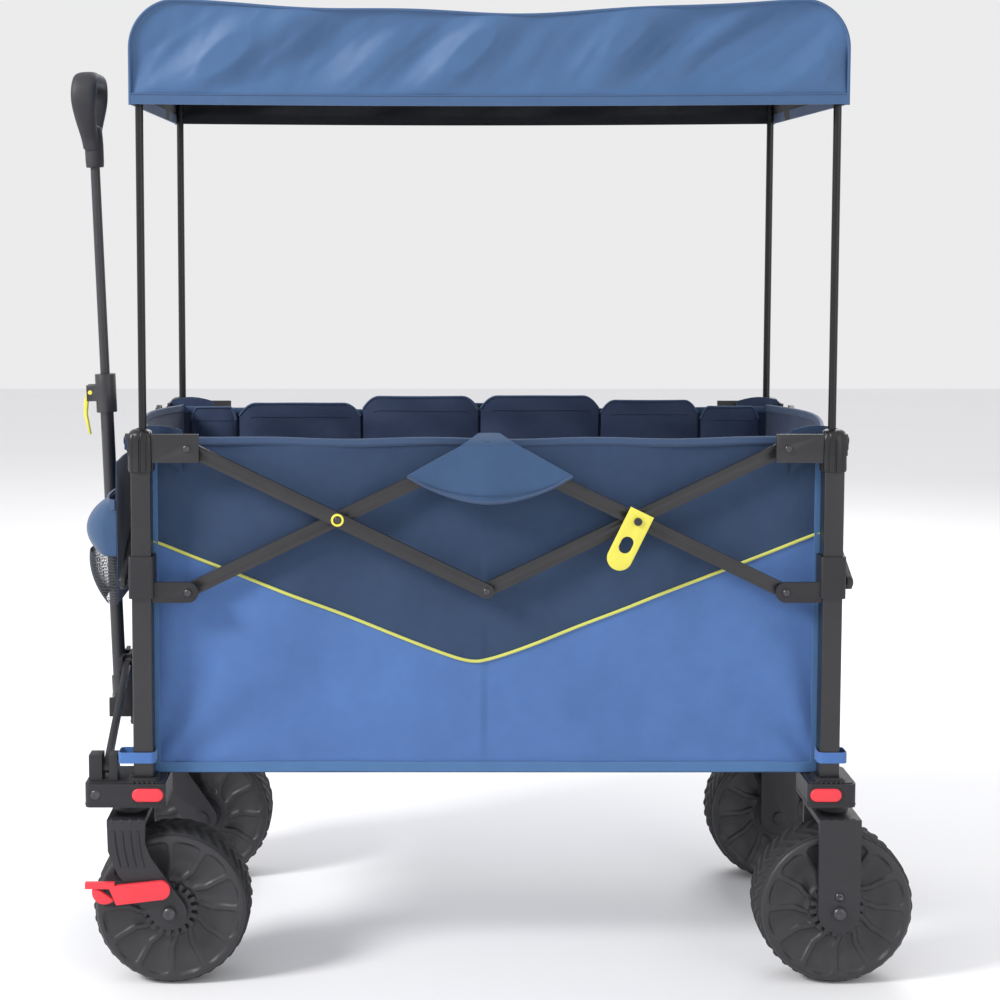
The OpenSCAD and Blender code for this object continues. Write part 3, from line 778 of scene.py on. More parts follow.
class CanopyForm:
    """The canopy's outline seen from the side, with its top sagging between the poles."""

    def __init__(self):
        self.half = CANOPY_HIGH.x - 0.0015
        self.z0 = CANOPY_LOW.z + 0.0015
        self.z1 = CANOPY_HIGH.z - 0.001
        self.r = 0.058          # bend between the top and the drops at both ends
        self.width = CANOPY_HIGH.y
        self.sink = chosen().canopy_sag
        self.folds = chosen().fold_strength

    def point(self, t):
        """Place on the arch: t from 0 at the front hem, over the top, to 1 at the rear hem."""
        straight = self.z1 - self.r - self.z0
        bend = self.r * math.pi / 2
        top = 2 * (self.half - self.r)
        total = 2 * straight + 2 * bend + top
        d = t * total
        mirrored = d > total / 2
        if mirrored:
            d = total - d
        if d < straight:
            x, z = -self.half, self.z0 + d
        elif d < straight + bend:
            a = (d - straight) / self.r
            x = -self.half + self.r - self.r * math.cos(a)
            z = self.z1 - self.r + self.r * math.sin(a)
        else:
            x, z = -self.half + self.r + d - straight - bend, self.z1
        return (-x if mirrored else x), z

    def sag(self, x, y):
        """How far the top has sunk at a place."""
        along = max(0.0, 1 - (abs(x) / (self.half - 0.045)) ** 2)
        across = max(0.0, 1 - (y / self.width) ** 2)
        edge = self.sink * along ** 1.3 * (1 + 0.16 * math.sin(21 * x + 0.6))
        return edge + 0.020 * along * across


def canopy_arch_piece(name, y0, y1, form, rows):
    def shape(u, v):
        x, z = form.point(u)
        y = y0 + (y1 - y0) * v
        near_top = min(1.0, max(0.0, (z - (form.z1 - form.r)) / form.r))
        z -= form.sag(x, y) * near_top
        wave = ripple(x + 0.4 * y, y * 1.3 + z, 0.7)
        flat_edge = min(1.0, (form.width - abs(y)) / 0.02)
        z += 0.0034 * form.folds * wave * near_top * flat_edge
        x += math.copysign(0.0016 * ripple(y, z, 2.1) * (1 - near_top) * flat_edge - 0.001, x)
        return x, y, z
    obj = sheet_grid(name, 220, rows, shape)
    return walled(facing(obj, (0, 0, 1)), "canopy", "lining")


def canopy_side_piece(name, s, form):
    """The upright side panel, wrinkled, between the hem and the sagging top."""
    y_face = s * (form.width - 0.001)

    def shape(u, v):
        x = -form.half + 2 * form.half * u
        inset = max(0.0, abs(x) - (form.half - form.r))
        top = form.z1 - form.r + math.sqrt(max(0.0, form.r ** 2 - inset ** 2))
        top -= form.sag(x, s * form.width) * min(1, (top - form.z1 + form.r) / form.r)
        z = form.z0 + (top - form.z0) * v
        z -= 0.004 * (1 - v) * math.sin(math.pi * u) * 0.6
        free = math.sin(math.pi * min(1, max(0, (v - 0.13) / 0.87))) ** 0.6
        ends = min(1.0, (form.half - abs(x)) / 0.03)
        depth = 0.025 * form.folds * ripple(x, z, 0.4 if s < 0 else 2.2) * free * ends
        return x, y_face + s * (max(-0.012, min(depth, 0.009)) - 0.004 * free), z
    obj = sheet_grid(name, 300, 44, shape)
    return walled(facing(obj, (0, s, 0)), "canopy", "lining")


def rows_of_stitches(name, points):
    """A line of separate stitches: one short thread copied along a seam."""
    pitch = chosen().stitch_pitch
    path = [Vector(p) for p in points]
    stitch = primitive(name, "cylinder", vertices=6, radius=STITCH_RADIUS,
                       depth=STITCH_LENGTH)
    shape = [v.co.copy() for v in stitch.data.vertices]
    total = sum((b - a).length for a, b in zip(path, path[1:]))
    modify(stitch, "ARRAY", count=int(total / pitch), use_relative_offset=False,
           use_constant_offset=True, constant_offset_displace=(pitch, 0, 0))
    run, segment = 0.0, 0
    for n in range(int(total / pitch)):
        target = (n + 0.5) * pitch
        while segment < len(path) - 2 and run + (path[segment + 1] - path[segment]).length < target:
            run += (path[segment + 1] - path[segment]).length
            segment += 1
        along = (path[segment + 1] - path[segment]).normalized()
        at = path[segment] + along * (target - run)
        turn = along.to_track_quat("Z", "Y").to_matrix()
        for i, point in enumerate(shape):
            stitch.data.vertices[n * len(shape) + i].co = at + turn @ point
    return smooth(stitch)


def tape(name, path, width_axis, width, thick):
    """A flat band laid along a path; width_axis is the direction of its width."""
    half = Vector(width_axis).normalized() * width / 2
    n = len(path)
    obj = primitive(name, "grid", x_subdivisions=n - 1, y_subdivisions=4, size=1)
    for vertex in obj.data.vertices:
        u, v = vertex.co.x + 0.5, vertex.co.y * 2
        i = min(n - 1, round(u * (n - 1)))
        vertex.co = Vector(path[i]) + half * v
    modify(obj, "SOLIDIFY", thickness=thick, offset=0)
    return smooth(outwards(obj), 60)


def build_canopy():
    form = CanopyForm()
    fold_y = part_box("canopy_top_far")[1].y + 0.0002
    for side, s in SIDES.items():
        body = corner_body(f"front_{side}")
        panel = canopy_side_piece(f"canopy_panel_{side}", s, form)
        done(panel, body, None, [f"canopy_side_{side}"])
        declare_sheet(panel)
        edge = canopy_arch_piece(f"canopy_shoulder_{side}", s * fold_y, s * (form.width - 0.003),
                                 form, 8)
        done(edge, body, None)
        top = canopy_arch_piece(f"canopy_roof_{side}", 0.0, s * fold_y, form, 46)
        done(top, f"{side}_canopy_top", None, [f"canopy_top_{side}"])
        declare_sheet(top)
        face = s * (form.width - 0.0008)
        seam = []
        steps = 150
        for i in range(steps + 1):
            x, z = form.point(i / steps)
            lift = min(1.0, max(0.0, (z - (form.z1 - form.r)) / form.r))
            seam.append((x, face, z - form.sag(x, face) * lift - 0.001))
        cord = tube(f"canopy_piping_{side}", seam, 0.0019, 4)
        done(cord, body, PAINT["hem"])
        low_path = [(-form.half + 2 * form.half * i / 80, face + s * 0.0004,
                     form.z0 + HEM_RISE - 0.0024 * math.sin(math.pi * i / 80)) for i in range(81)]
        hem = tape(f"canopy_hem_{side}", low_path, (0, 0, 1), HEM_WIDE, HEM_THICK)
        done(hem, body, PAINT["hem"])
        stitch_path = [(x, y + s * 0.0012, z + 0.0048) for x, y, z in low_path]
        stitches = rows_of_stitches(f"canopy_stitches_{side}", stitch_path)
        done(stitches, body, PAINT["thread"])
        for piece in (panel, edge, top, cord, hem, stitches):
            squash_x(piece)
        for end, e in ENDS.items():
            rows = [(e * (form.half + 0.0004), s * (form.width * i / 24), form.z0 + HEM_RISE)
                    for i in range(25)]
            outer = [p for p in rows if abs(p[1]) >= fold_y - 0.004]
            inner = [p for p in rows if abs(p[1]) <= fold_y + 0.004]
            for label, path, carrier in (("outer", outer, body),
                                         ("inner", inner, f"{side}_canopy_top")):
                band = tape(f"canopy_end_hem_{end}_{side}_{label}", path, (0, 0, 1), HEM_WIDE,
                            HEM_THICK)
                done(band, carrier, PAINT["hem"])
                squash_x(band)


def build_poles():
    for corner, (end, side) in CORNERS.items():
        body = corner_body(corner)
        e, s = ENDS[end], SIDES[side]
        low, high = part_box(f"pole_{corner}")
        cx, cy = e * POST_X, s * POST_Y
        cap_top = low.z + 0.053
        px = e * (POST_X - 0.002)
        rod_r, bend = 0.005, 0.05
        path = [(px, cy, cap_top - 0.012), (px, cy, cap_top + 0.1), (px, cy, high.z - 0.2)]
        for a in [math.pi / 2 * i / 8 for i in range(9)]:
            path.append((px - e * (bend - bend * math.cos(a)), cy,
                         high.z - rod_r - bend + bend * math.sin(a)))
        path.append((px - e * (bend + 0.04), cy, high.z - rod_r))
        rod = tube(f"canopy_pole_{corner}", path, rod_r, 8)
        done(rod, body, PAINT["pole"], [f"pole_{corner}"])
        flutes, steps = 12, 144
        height = cap_top - low.z
        levels = [(0.0, 0.96), (0.002, 1.0), (height * 0.5, 0.985), (height * 0.72, 0.965),
                  (height * 0.86, 0.93), (height * 0.94, 0.82), (height * 0.985, 0.6),
                  (height, 0.36)]
        inner = [(0.0052, height), (0.0052, height - 0.01), (0.0135, height - 0.014), (0.0135, 0.0)]
        profile = [(0.0168 * k, z) for z, k in levels] + inner
        cap = turned(f"pole_cap_{corner}", profile, (cx, cy, low.z), "Z", steps)
        for vertex in cap.data.vertices:
            x, y, z = vertex.co.x - cx, vertex.co.y - cy, vertex.co.z - low.z
            rad = math.hypot(x, y)
            if rad > 0.0145 and z < height * 0.9:
                angle = math.atan2(y, x)
                wave = math.cos(angle * flutes)
                square = 1 / max(abs(math.cos(angle)), abs(math.sin(angle))) ** 0.35
                k = square * (1 - 0.0011 * ease((wave - 0.45) / 0.4) / rad)
                vertex.co.x, vertex.co.y = cx + x * k, cy + y * k
        done(smooth(cap, 45), body, PAINT["cap"])


# ---------------------------------------------------------------- basket

def facing(obj, direction):
    """Turns an open panel's faces so that most of them look in a direction."""
    total = Vector()
    for polygon in obj.data.polygons:
        total += polygon.normal * polygon.area
    if total.dot(Vector(direction)) < 0:
        edit(obj, ("flip_normals", {}))
    return obj


def walled(obj, outside, inside, thick=None):
    """Gives an open cloth panel its thickness, with one cloth outside and another inside."""
    thick = thick or chosen().cloth_thick
    obj.data.materials.append(PAINT[outside])
    obj.data.materials.append(PAINT[inside])
    modify(obj, "SOLIDIFY", thickness=thick, offset=-1, material_offset=1)
    return smooth(obj, 80)


def seam_height(x):
    """Height of the lime seam that falls from both posts to the middle of a side panel."""
    return 0.404 + 0.397 * math.sqrt((x + 0.013) ** 2 + 0.02 ** 2)


def rim_height(x):
    """Height of a side panel's upper edge, slightly hollow between its fastenings."""
    t = abs(x) / BASKET_HIGH.x
    return BASKET_HIGH.z - 0.004 - 0.005 * (1 - t ** 4) * (0.5 + 0.5 * math.sin(15 * x + 1.1) ** 2)


def side_bulge(x, z):
    """How far a side panel stands out: folds that run in from the corners, and a slack foot."""
    edge = ease((BASKET_HIGH.x - abs(x)) / 0.035)
    high = ease((BASKET_HIGH.z - z) / 0.03) * ease((z - BASKET_LOW.z) / 0.03)
    reach = BASKET_HIGH.x - abs(x)
    drop = z - BASKET_LOW.z
    angle = math.atan2(drop + 0.02, reach + 0.02)
    fading = math.exp(-math.hypot(drop, reach) / 0.16)
    rays = math.sin(11 * angle + 1.3 * math.copysign(1, x)) * fading
    fall = 0.0
    for i in range(5):
        across = x + (0.35 + 0.25 * math.sin(1.9 * i)) * (z - 0.48) * math.copysign(1, x)
        wave = math.sin(across * (13 + 8 * i) + 1.7 * i)
        fade = 0.5 + 0.5 * math.sin(z * (9 + 3 * i) + x * 4 + 2.4 * i)
        fall += wave * fade / (1 + 0.6 * i)
    return (0.0052 * rays + 0.0038 * fall) * edge * high


def side_panel(name, s, low, high, across, up, outside, inside):
    face = s * (BASKET_HIGH.y - PANEL_INSET)

    def shape(u, v):
        x = BASKET_HIGH.x * (2 * u - 1)
        z0, z1 = low(x), high(x)
        z = z0 + (z1 - z0) * v
        return x, face + s * side_bulge(x, z), z
    obj = sheet_grid(name, across, up, shape)
    return walled(facing(obj, (0, s, 0)), outside, inside)


def panel_line(s, height, proud):
    """A line of points lying on a side panel's outer face."""
    count = 160
    face = s * (BASKET_HIGH.y - PANEL_INSET)
    points = []
    for i in range(count + 1):
        x = BASKET_HIGH.x * (2 * i / count - 1)
        z = height(x)
        points.append((x, face + s * (side_bulge(x, z) + proud), z))
    return points


def build_sides(settings):
    foot = FOOT_LINE
    for side, s in SIDES.items():
        body = corner_body(f"front_{side}")
        lower = side_panel(f"basket_{side}_lower", s, lambda x: foot, seam_height, 200, 50,
                           "basket", "inside")
        upper = side_panel(f"basket_{side}_upper", s, seam_height, rim_height, 200, 50,
                           "navy", "inside")
        done(lower, body, None, [f"basket_{side}"])
        done(upper, body, None)
        cord = tube(f"seam_piping_{side}", panel_line(s, seam_height, 0.0008),
                    settings.piping_round, 4)
        done(cord, body, PAINT["lime_cord"])
        rim = panel_line(s, rim_height, -0.0006)
        edge = tape(f"rim_binding_{side}", [(x, y, z - RIM_DROP) for x, y, z in rim], (0, 0, 1),
                    RIM_WIDE, RIM_THICK)
        modify(edge, "BEVEL", width=0.0018, segments=3, limit_method="ANGLE")
        done(smooth(edge, 60), body, PAINT["rim"])
        stitch = rows_of_stitches(f"rim_stitches_{side}", [(x, y + s * 0.0027, z - 0.0068)
                                                         for x, y, z in rim])
        done(stitch, body, PAINT["thread"])
        foot_line = panel_line(s, lambda x: foot + FOOT_TAPE_RISE, 0.0014)
        hem = tape(f"foot_binding_{side}", foot_line, (0, 0, 1), settings.binding_wide, TAPE_THICK)
        done(hem, body, PAINT["binding"])
        pieces = [lower, upper, cord, edge, stitch, hem]
        for end, e in ENDS.items():
            x = e * (BASKET_HIGH.x - 0.0068)
            face = s * (BASKET_HIGH.y - 0.0044)
            upright = [(x, face, foot + (BASKET_HIGH.z - 0.012 - foot) * i / 30)
                       for i in range(31)]
            band = tape(f"corner_binding_{end}_{side}", upright, (1, 0, 0), settings.binding_wide,
                        TAPE_THICK)
            done(band, body, PAINT["binding"])
            pieces += [band, ear(side, s, end, body)]
        for piece in pieces:
            squash_x(piece)
        declare_sheet(lower)
        declare_sheet(upper)


def ear(side, s, end, body):
    """The rim's corner tip, wrapped behind the post and snapped down."""
    tip, root = POST_X + 0.024, BASKET_HIGH.x - 0.045
    top = BASKET_HIGH.z

    def shape(u, v):
        x = root + (tip - root) * u
        low = 0.030 * (1 - u) ** 0.7 + 0.016
        swell = 0.006 * math.sin(math.pi * min(1, u * 1.1))
        high = top + 0.004 + swell - 0.012 * max(0, u - 0.8) / 0.2
        return (ENDS[end] * x, s * (BASKET_HIGH.y - 0.0016),
                high - low * (1 - v) * (1.2 - 0.4 * u))
    flap = sheet_grid(f"rim_ear_{end}_{side}", 24, 8, shape)
    walled(facing(flap, (0, s, 0)), "navy", "inside", 0.0018)
    return done(flap, body, None)


def build_flap():
    """The half-moon flap that hangs over the middle joint of each side."""
    apex, tip, droop = BASKET_HIGH.z + 0.001, 0.103, 0.081
    bar_face = -outer_face("side_bar_near_1", -1)
    for side, s in SIDES.items():
        body = corner_body(f"front_{side}")

        def shape(u, v):
            a = 2 * u - 1
            top = apex - 0.048 * max(0.0, abs(a) - 0.13) / 0.87 - 0.002 * abs(a)
            bottom = apex - 0.051 - 0.033 * (1 - a * a)
            z = top + (bottom - top) * v
            drop = (apex - z) / droop
            roll = min(1.0, max(0.0, drop / 0.22))
            y = BASKET_HIGH.y + (bar_face + 0.008 - BASKET_HIGH.y) * math.sin(roll * math.pi / 2)
            y += 0.0022 * math.sin(6 * a + 2) * v + 0.004 * v * (1 - a * a)
            return 0.003 + a * tip, s * y, z
        flap = sheet_grid(f"middle_flap_{side}", 60, 30, shape)
        walled(facing(flap, (0, s, 0)), "flap", "flap", POCKET_CLOTH)
        done(flap, body, None)
        rim = [shape(i / 60, 1.0) for i in range(61)]
        edge = tube(f"flap_edge_{side}", rim, 0.0021, 4)
        done(edge, body, PAINT["rim"])
        inset = []
        for i in range(3, 58):
            x, y, z = shape(i / 60, 0.90)
            inset.append((x, y + s * 0.0011, z))
        stitch = rows_of_stitches(f"flap_stitches_{side}", inset)
        done(stitch, body, PAINT["thread"])
        for piece in (flap, edge, stitch):
            squash_x(piece)


def build_ends(settings):
    inner_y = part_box("basket_front")[1].y
    foot = FOOT_LINE
    for end, e in ENDS.items():
        body = corner_body(f"{end}_near")
        face = BASKET_HIGH.x - 0.0015

        def shape(u, v):
            y = inner_y * (2 * u - 1)
            rim = BASKET_HIGH.z - 0.002 + 0.006 * math.cos(math.pi * y / (2 * inner_y))
            z = foot + (rim - foot) * v
            t = max(0.0, (z - 0.585) / (rim - 0.585))
            middle = max(0.0, math.cos(math.pi * y / (2 * inner_y)))
            flare = 0.027 * t * t * (3 - 2 * t) * middle ** 1.4
            fold = 0.0026 * math.sin(41 * y + 13 * z)
            fold *= math.sin(math.pi * u) * math.sin(math.pi * v)
            return e * (face + flare + fold), y, z
        panel = sheet_grid(f"basket_{end}_panel", 80, 90, shape)
        walled(facing(panel, (e, 0, 0)), "navy", "inside")
        done(panel, body, None, [f"basket_{end}"])
        rim = [shape(i / 80, 1.0) for i in range(81)]
        edge = tape(f"rim_binding_{end}", [(x, y, z - RIM_DROP) for x, y, z in rim], (0, 0, 1),
                    RIM_WIDE, RIM_THICK)
        modify(edge, "BEVEL", width=0.0018, segments=3, limit_method="ANGLE")
        done(smooth(edge, 60), body, PAINT["rim"])
        low = [(e * (face + 0.0014), inner_y * (2 * i / 40 - 1), foot + FOOT_TAPE_RISE)
               for i in range(41)]
        hem = tape(f"foot_binding_{end}", low, (0, 0, 1), settings.binding_wide, TAPE_THICK)
        done(hem, body, PAINT["binding"])
        for piece in (panel, edge, hem):
            squash_y(piece)
        declare_sheet(panel)


def build_floor():
    low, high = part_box("floor_far")
    for side, s in SIDES.items():
        def shape(u, v):
            x = low.x + (high.x - low.x) * u
            y = s * (low.y + (high.y - low.y) * v)
            pad = abs(math.sin(math.pi * u * 4)) ** 0.35 * abs(math.sin(math.pi * v)) ** 0.35
            return x, y, low.z + 0.0012 + 0.0032 * pad
        mat = sheet_grid(f"floor_mat_{side}", 120, 30, shape)
        walled(facing(mat, (0, 0, 1)), "inside", "inside", 0.001)
        done(mat, f"{side}_floor", None, [f"floor_{side}"])
        squash_x(mat)
        declare_sheet(mat)


def pocket_panel(name, x0, x1, y0, y1, z0, z1):
    """A pocket's front: a crowned cloth panel gathered at its elastic mouth."""
    def shape(u, v):
        y = y0 + (y1 - y0) * u
        z = z0 + (z1 - z0) * v
        side = math.sin(math.pi * u) ** 0.35 if 0 < u < 1 else 0.0
        belly = math.sin(math.pi * min(1.0, v * 0.8 + 0.16)) ** 0.5
        crease = 0.0022 * math.sin(60 * math.pi * u) * max(0.0, v - 0.75) / 0.25
        fold = 0.002 * math.sin(50 * y + 30 * z)
        return x0 + (x1 - x0) * side * belly + crease + fold * side, y, z
    return sheet_grid(name, 60, 50, shape)


def build_pockets():
    low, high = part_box("front_pockets")
    back = high.x - 0.003
    front = low.x + 0.006
    inner = 0.026
    for side, s in SIDES.items():
        body = corner_body(f"front_{side}")
        y0, y1 = s * inner, s * high.y
        plate = sheet_grid(f"pocket_back_{side}", 40, 40, lambda u, v: (
            back + 0.001 * math.sin(9 * u) * math.sin(7 * v), y0 + (y1 - y0) * u,
            low.z + (high.z - low.z) * v))
        walled(facing(plate, (-1, 0, 0)), "navy", "navy", POCKET_CLOTH)
        done(plate, body, None, ["front_pockets"])
        net_top = low.z + 0.062
        mouth = high.z - 0.052
        belly = pocket_panel(f"pocket_front_{side}", back, front, y0, y1, net_top, mouth)
        walled(facing(belly, (-1, 0, 0)), "flap", "navy")
        done(belly, body, None)
        band = []
        gathered = math.sin(math.pi * 0.96) ** 0.5
        for i in range(61):
            u = i / 60
            fill = math.sin(math.pi * u) ** 0.35 if 0 < u < 1 else 0.0
            band.append((back + (front - back) * fill * gathered - 0.001, y0 + (y1 - y0) * u,
                         mouth - 0.004))
        elastic = tape(f"pocket_elastic_{side}", band, (0, 0, 1), 0.013, 0.003)
        done(elastic, body, PAINT["rim"])
        net = pocket_net(f"pocket_net_{side}", back, low.x + 0.008, y0, y1, low.z, net_top)
        done(net, body, PAINT["net"])
        for piece in (plate, belly, elastic, net):
            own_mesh(piece)
        declare_sheet(belly)


def pocket_net(name, back, front, y0, y1, z0, z1):
    """Open netting: the edges of a coarse grid turned into cord."""
    def shape(u, v):
        y = y0 + (y1 - y0) * u
        side = math.sin(math.pi * u) ** 0.35 if 0 < u < 1 else 0.0
        belly = math.sin(math.pi * (0.08 + 0.5 * v)) ** 0.5
        return back + (front - back) * side * belly, y, z0 + (z1 - z0) * v
    net = sheet_grid(name, 40, 16, shape)
    modify(net, "WIREFRAME", thickness=0.0011, use_even_offset=False)
    return smooth(net)


def build_straps():
    """A loop of webbing ties each lower corner of the basket to its post."""
    z, tall, foot = 0.296, 0.014, 0.2738
    for corner, (end, side) in CORNERS.items():
        body = corner_body(corner)
        e, s = ENDS[end], SIDES[side]
        cx, cy = e * POST_X, s * POST_Y
        width, half = (0.047, 0.0145) if end == "front" else (0.037, 0.0142)
        cx += e * (0.0085 if end == "front" else 0.0035)
        ring = round_rect(width, 2 * half, 0.006, cx, cy, 4)
        band = slab(f"corner_strap_{corner}", ring, tall, 0.0, "XY", z - tall / 2)
        core = slab("cutter", round_rect(width - 0.003, 2 * half - 0.003, 0.005, cx, cy, 4), 0.03,
                    0.0, "XY", z - 0.015)
        cut_away(band, core)
        modify(band, "BEVEL", width=0.0005, segments=2, limit_method="ANGLE")
        done(smooth(band, 50), body, PAINT["strap"])
        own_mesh(band)


def cut_away(obj, cutter):
    pick(obj)
    cut = obj.modifiers.new("cut", "BOOLEAN")
    cut.object = cutter
    cut.operation = "DIFFERENCE"
    cut.solver = "EXACT"
    bpy.ops.object.modifier_apply(modifier="cut")
    bpy.data.objects.remove(cutter)
    return obj


def build_inner_pockets():
    """A row of round-cornered pockets along the inside of the far wall."""
    body = corner_body("front_far")
    top, foot = BASKET_HIGH.z, 0.44
    spans = [("front_corner", -0.415, -0.350, -0.004, 0.008),
             ("front", -0.345, -0.168, 0.002, 0.011),
             ("middle", -0.164, 0.004, 0.012, 0.014),
             ("zip", 0.008, 0.180, 0.013, 0.015),
             ("rear", 0.184, 0.325, 0.006, 0.011),
             ("rear_corner", 0.330, 0.415, -0.003, 0.008)]
    for label, x0, x1, rise, proud in spans:
        def shape(u, v):
            x = x0 + (x1 - x0) * u
            corner = max(0.0, abs(2 * u - 1) - 0.72) / 0.28
            high = top + rise - 0.018 * corner ** 2
            z = foot + (high - foot) * v
            full = (1 - abs(2 * u - 1) ** 4) * math.sin(math.pi * (0.12 + 0.66 * v))
            lean = proud * ease((v - 0.75) / 0.25) * 0.45
            wall = BASKET_HIGH.y - 0.0095 + side_bulge(x, min(z, BASKET_HIGH.z))
            puckers = 0.0014 * (1 + math.sin(55 * x + 25 * v))
            return x, wall - proud * full - lean - puckers, z
        pocket = sheet_grid(f"inner_pocket_{label}", 48, 40, shape)
        walled(facing(pocket, (0, -1, 0)), "inside", "inside", POCKET_CLOTH)
        done(pocket, body, None)
        rim = [shape(i / 48, 1.0) for i in range(49)]
        piping = tube(f"pocket_piping_{label}", rim, 0.0017, 4)
        done(piping, body, PAINT["rim"])
        line = []
        for i in range(4, 45):
            x, y, z = shape(i / 48, 0.93)
            line.append((x, y - 0.0014, z))
        thread = rows_of_stitches(f"pocket_stitches_{label}", line)
        done(thread, body, PAINT["thread"])
        for piece in (pocket, piping, thread):
            squash_x(piece)


# ---------------------------------------------------------------- pull handle and lock tab

HINGE = joint_place("handle_swing")


def handle_frame():
    """Turns a shape drawn upright at the hinge to the handle's lean."""
    slide = Vector(joint("handle_slide")["axis"])
    lean = math.atan2(-slide.x, slide.z)
    return Matrix.Translation(HINGE) @ Matrix.Rotation(-lean, 4, "Y")


def build_handle():
    at = handle_frame()
    for side in SIDES:
        done(refined(f"handle_arm_{side}", 0.0015), f"{side}_handle_arm", PAINT["handle"],
             [f"handle_arm_{side}"])
    done(refined("handle_yoke", 0.0012), "yoke", PAINT["moulding"], ["handle_yoke"])
    done(refined("handle_tube", 0.0012), "handle", PAINT["handle"], ["handle_tube"])
    done(refined("clamp_lever", 0.0014), "clamp", PAINT["lime"], ["clamp_lever"])
    low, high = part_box("handle_extension")
    half_w = (high.y - low.y) / 2
    top = (at.inverted() @ Vector((low.x, 0, high.z))).z
    foot = top - 0.127
    rod = turned("handle_rod", [(0.0042, 0.34), (0.0064, 0.34), (0.0064, foot + 0.03),
                                (0.0042, foot + 0.03)], (0, 0, 0), "Z", 48)
    done(smooth(place(rod, at), 50), "extension", PAINT["handle"])
    loop = loop_grip(half_w, foot, top)
    done(smooth(place(loop, at), 60), "extension", PAINT["grip"], ["handle_extension"])
    tall = 0.056
    neck = [(0.0066, 0.0), (0.0112, 0.0), (0.0122, 0.0012), (0.0126, 0.010), (0.0128, 0.030),
            (0.0118, 0.052), (0.0066, tall)]
    collar = turned("grip_neck", neck, (0, 0, foot), "Z", 48)
    for vertex in collar.data.vertices:
        rise = (vertex.co.z - foot) / tall
        vertex.co.y *= 1 + 0.35 * rise
        vertex.co.x *= 0.98
    done(smooth(place(collar, at), 60), "extension", PAINT["grip"])


def loop_grip(half_w, foot, top):
    """A rounded D loop: two bowed arms that rise from the neck to a thick cross bar."""
    bar_z = top - 0.0105
    path = [(-0.0085, foot + 0.026), (-0.014, foot + 0.042), (-half_w + 0.024, foot + 0.066),
            (-half_w + 0.0105, foot + 0.086)]
    bend = 0.022
    path += [(-half_w + 0.0100 + bend - bend * math.cos(a), bar_z - bend + bend * math.sin(a))
             for a in [math.pi / 2 * i / 6 for i in range(7)]]
    path += [(-y, z) for y, z in reversed(path)]
    path = [Vector((y, z)) for y, z in path]
    dense = []
    for a, b in zip(path, path[1:]):
        count = max(1, round((b - a).length / 0.003))
        dense += [a.lerp(b, i / count) for i in range(count)]
    dense.append(path[-1])
    for _ in range(6):
        dense = [dense[0]] + [(dense[i - 1] + 2 * dense[i] + dense[i + 1]) / 4
                              for i in range(1, len(dense) - 1)] + [dense[-1]]
    sides = 28
    loop = primitive("loop_grip", "grid", x_subdivisions=len(dense) - 1, y_subdivisions=sides,
                     size=1)
    for vertex in loop.data.vertices:
        i = round((vertex.co.x + 0.5) * (len(dense) - 1))
        turn = TURN * (vertex.co.y + 0.5)
        before, after = dense[max(0, i - 1)], dense[min(len(dense) - 1, i + 1)]
        out = Vector((-(after - before).y, (after - before).x)).normalized()
        rise = (dense[i].y - foot) / (top - foot)
        deep = 0.0105 + 0.0065 * ease((rise - 0.2) / 0.6)
        thick = 0.0078 + 0.0026 * ease((rise - 0.6) / 0.4)
        c, k = math.cos(turn), math.sin(turn)
        flat_c = math.copysign(abs(c) ** 0.72, c)
        flat_k = math.copysign(abs(k) ** 0.72, k)
        at = dense[i] + out * (thick * flat_k)
        bow = -0.004 * math.sin(math.pi * rise)
        vertex.co = (deep * flat_c + bow, at.x, at.y)
    edit(loop, ("remove_doubles", {"threshold": MERGE}), ("fill_holes", {"sides": 0}))
    return outwards(loop)


def build_lock_tab():
    tab = refined("fold_lock_tab", 0.0008, segments=3)
    done(tab, "lock_tab", PAINT["lime"], ["fold_lock_tab"])
    pivot = joint_place("lock_tab_turn")
    face = outer_face("fold_lock_tab", -1)
    rivet_head("tab_rivet", (pivot.x, face - 0.0008, pivot.z), (0, -1, 0), body="near_bar_4")


# ---------------------------------------------------------------- stage

def build_stage(colours):
    scene = bpy.context.scene
    floor = primitive("studio_floor", "plane", size=14, location=(0, 1.5, 0))
    settle(floor)
    pale = Finish("studio_floor", Roughness=0.9)
    floor_colour = tuple(colours.floor)
    pale.set(Base_Color=pale.mix(pale.noise(1.5), tuple(0.97 * c for c in floor_colour),
                                 floor_colour))
    floor.data.materials.append(pale.material)
    world = bpy.data.worlds.new("studio")
    world.use_nodes = True
    world.node_tree.nodes["Background"].inputs["Color"].default_value = (0.95, 0.95, 0.96, 1)
    world.node_tree.nodes["Background"].inputs["Strength"].default_value = 0.88
    scene.world = world
    lamps = [("key_light", (-3.2, -1.9, 2.9), 1.0, 150), ("fill_light", (2.6, -3.0, 1.6), 2.4, 18),
             ("back_light", (0.8, 2.8, 2.8), 2.2, 60)]
    for name, at, size, power in lamps:
        lamp = bpy.data.lights.new(name, "AREA")
        lamp.size = size
        lamp.energy = power
        obj = bpy.data.objects.new(name, lamp)
        scene.collection.objects.link(obj)
        obj.location = at
        obj.rotation_euler = (Vector((0, 0, 0.65)) - Vector(at)).to_track_quat("-Z", "Y").to_euler()
    camera = bpy.data.cameras.new("camera")
    camera.lens = 68.5
    camera.shift_x = 0.0965
    camera.shift_y = -0.128
    obj = bpy.data.objects.new("camera", camera)
    scene.collection.objects.link(obj)
    obj.location = (-0.105, -2.589, 0.971)
    obj.rotation_euler = (math.radians(90 - 4.5), 0, 0)
    scene.camera = obj
    scene.view_settings.view_transform = "Standard"


# ---------------------------------------------------------------- add-on

def size(name, text, default, low, high):
    """A length that a user can change."""
    return bpy.props.FloatProperty(name=name, description=text, default=default, min=low, max=high,
                                   precision=4, unit="LENGTH")


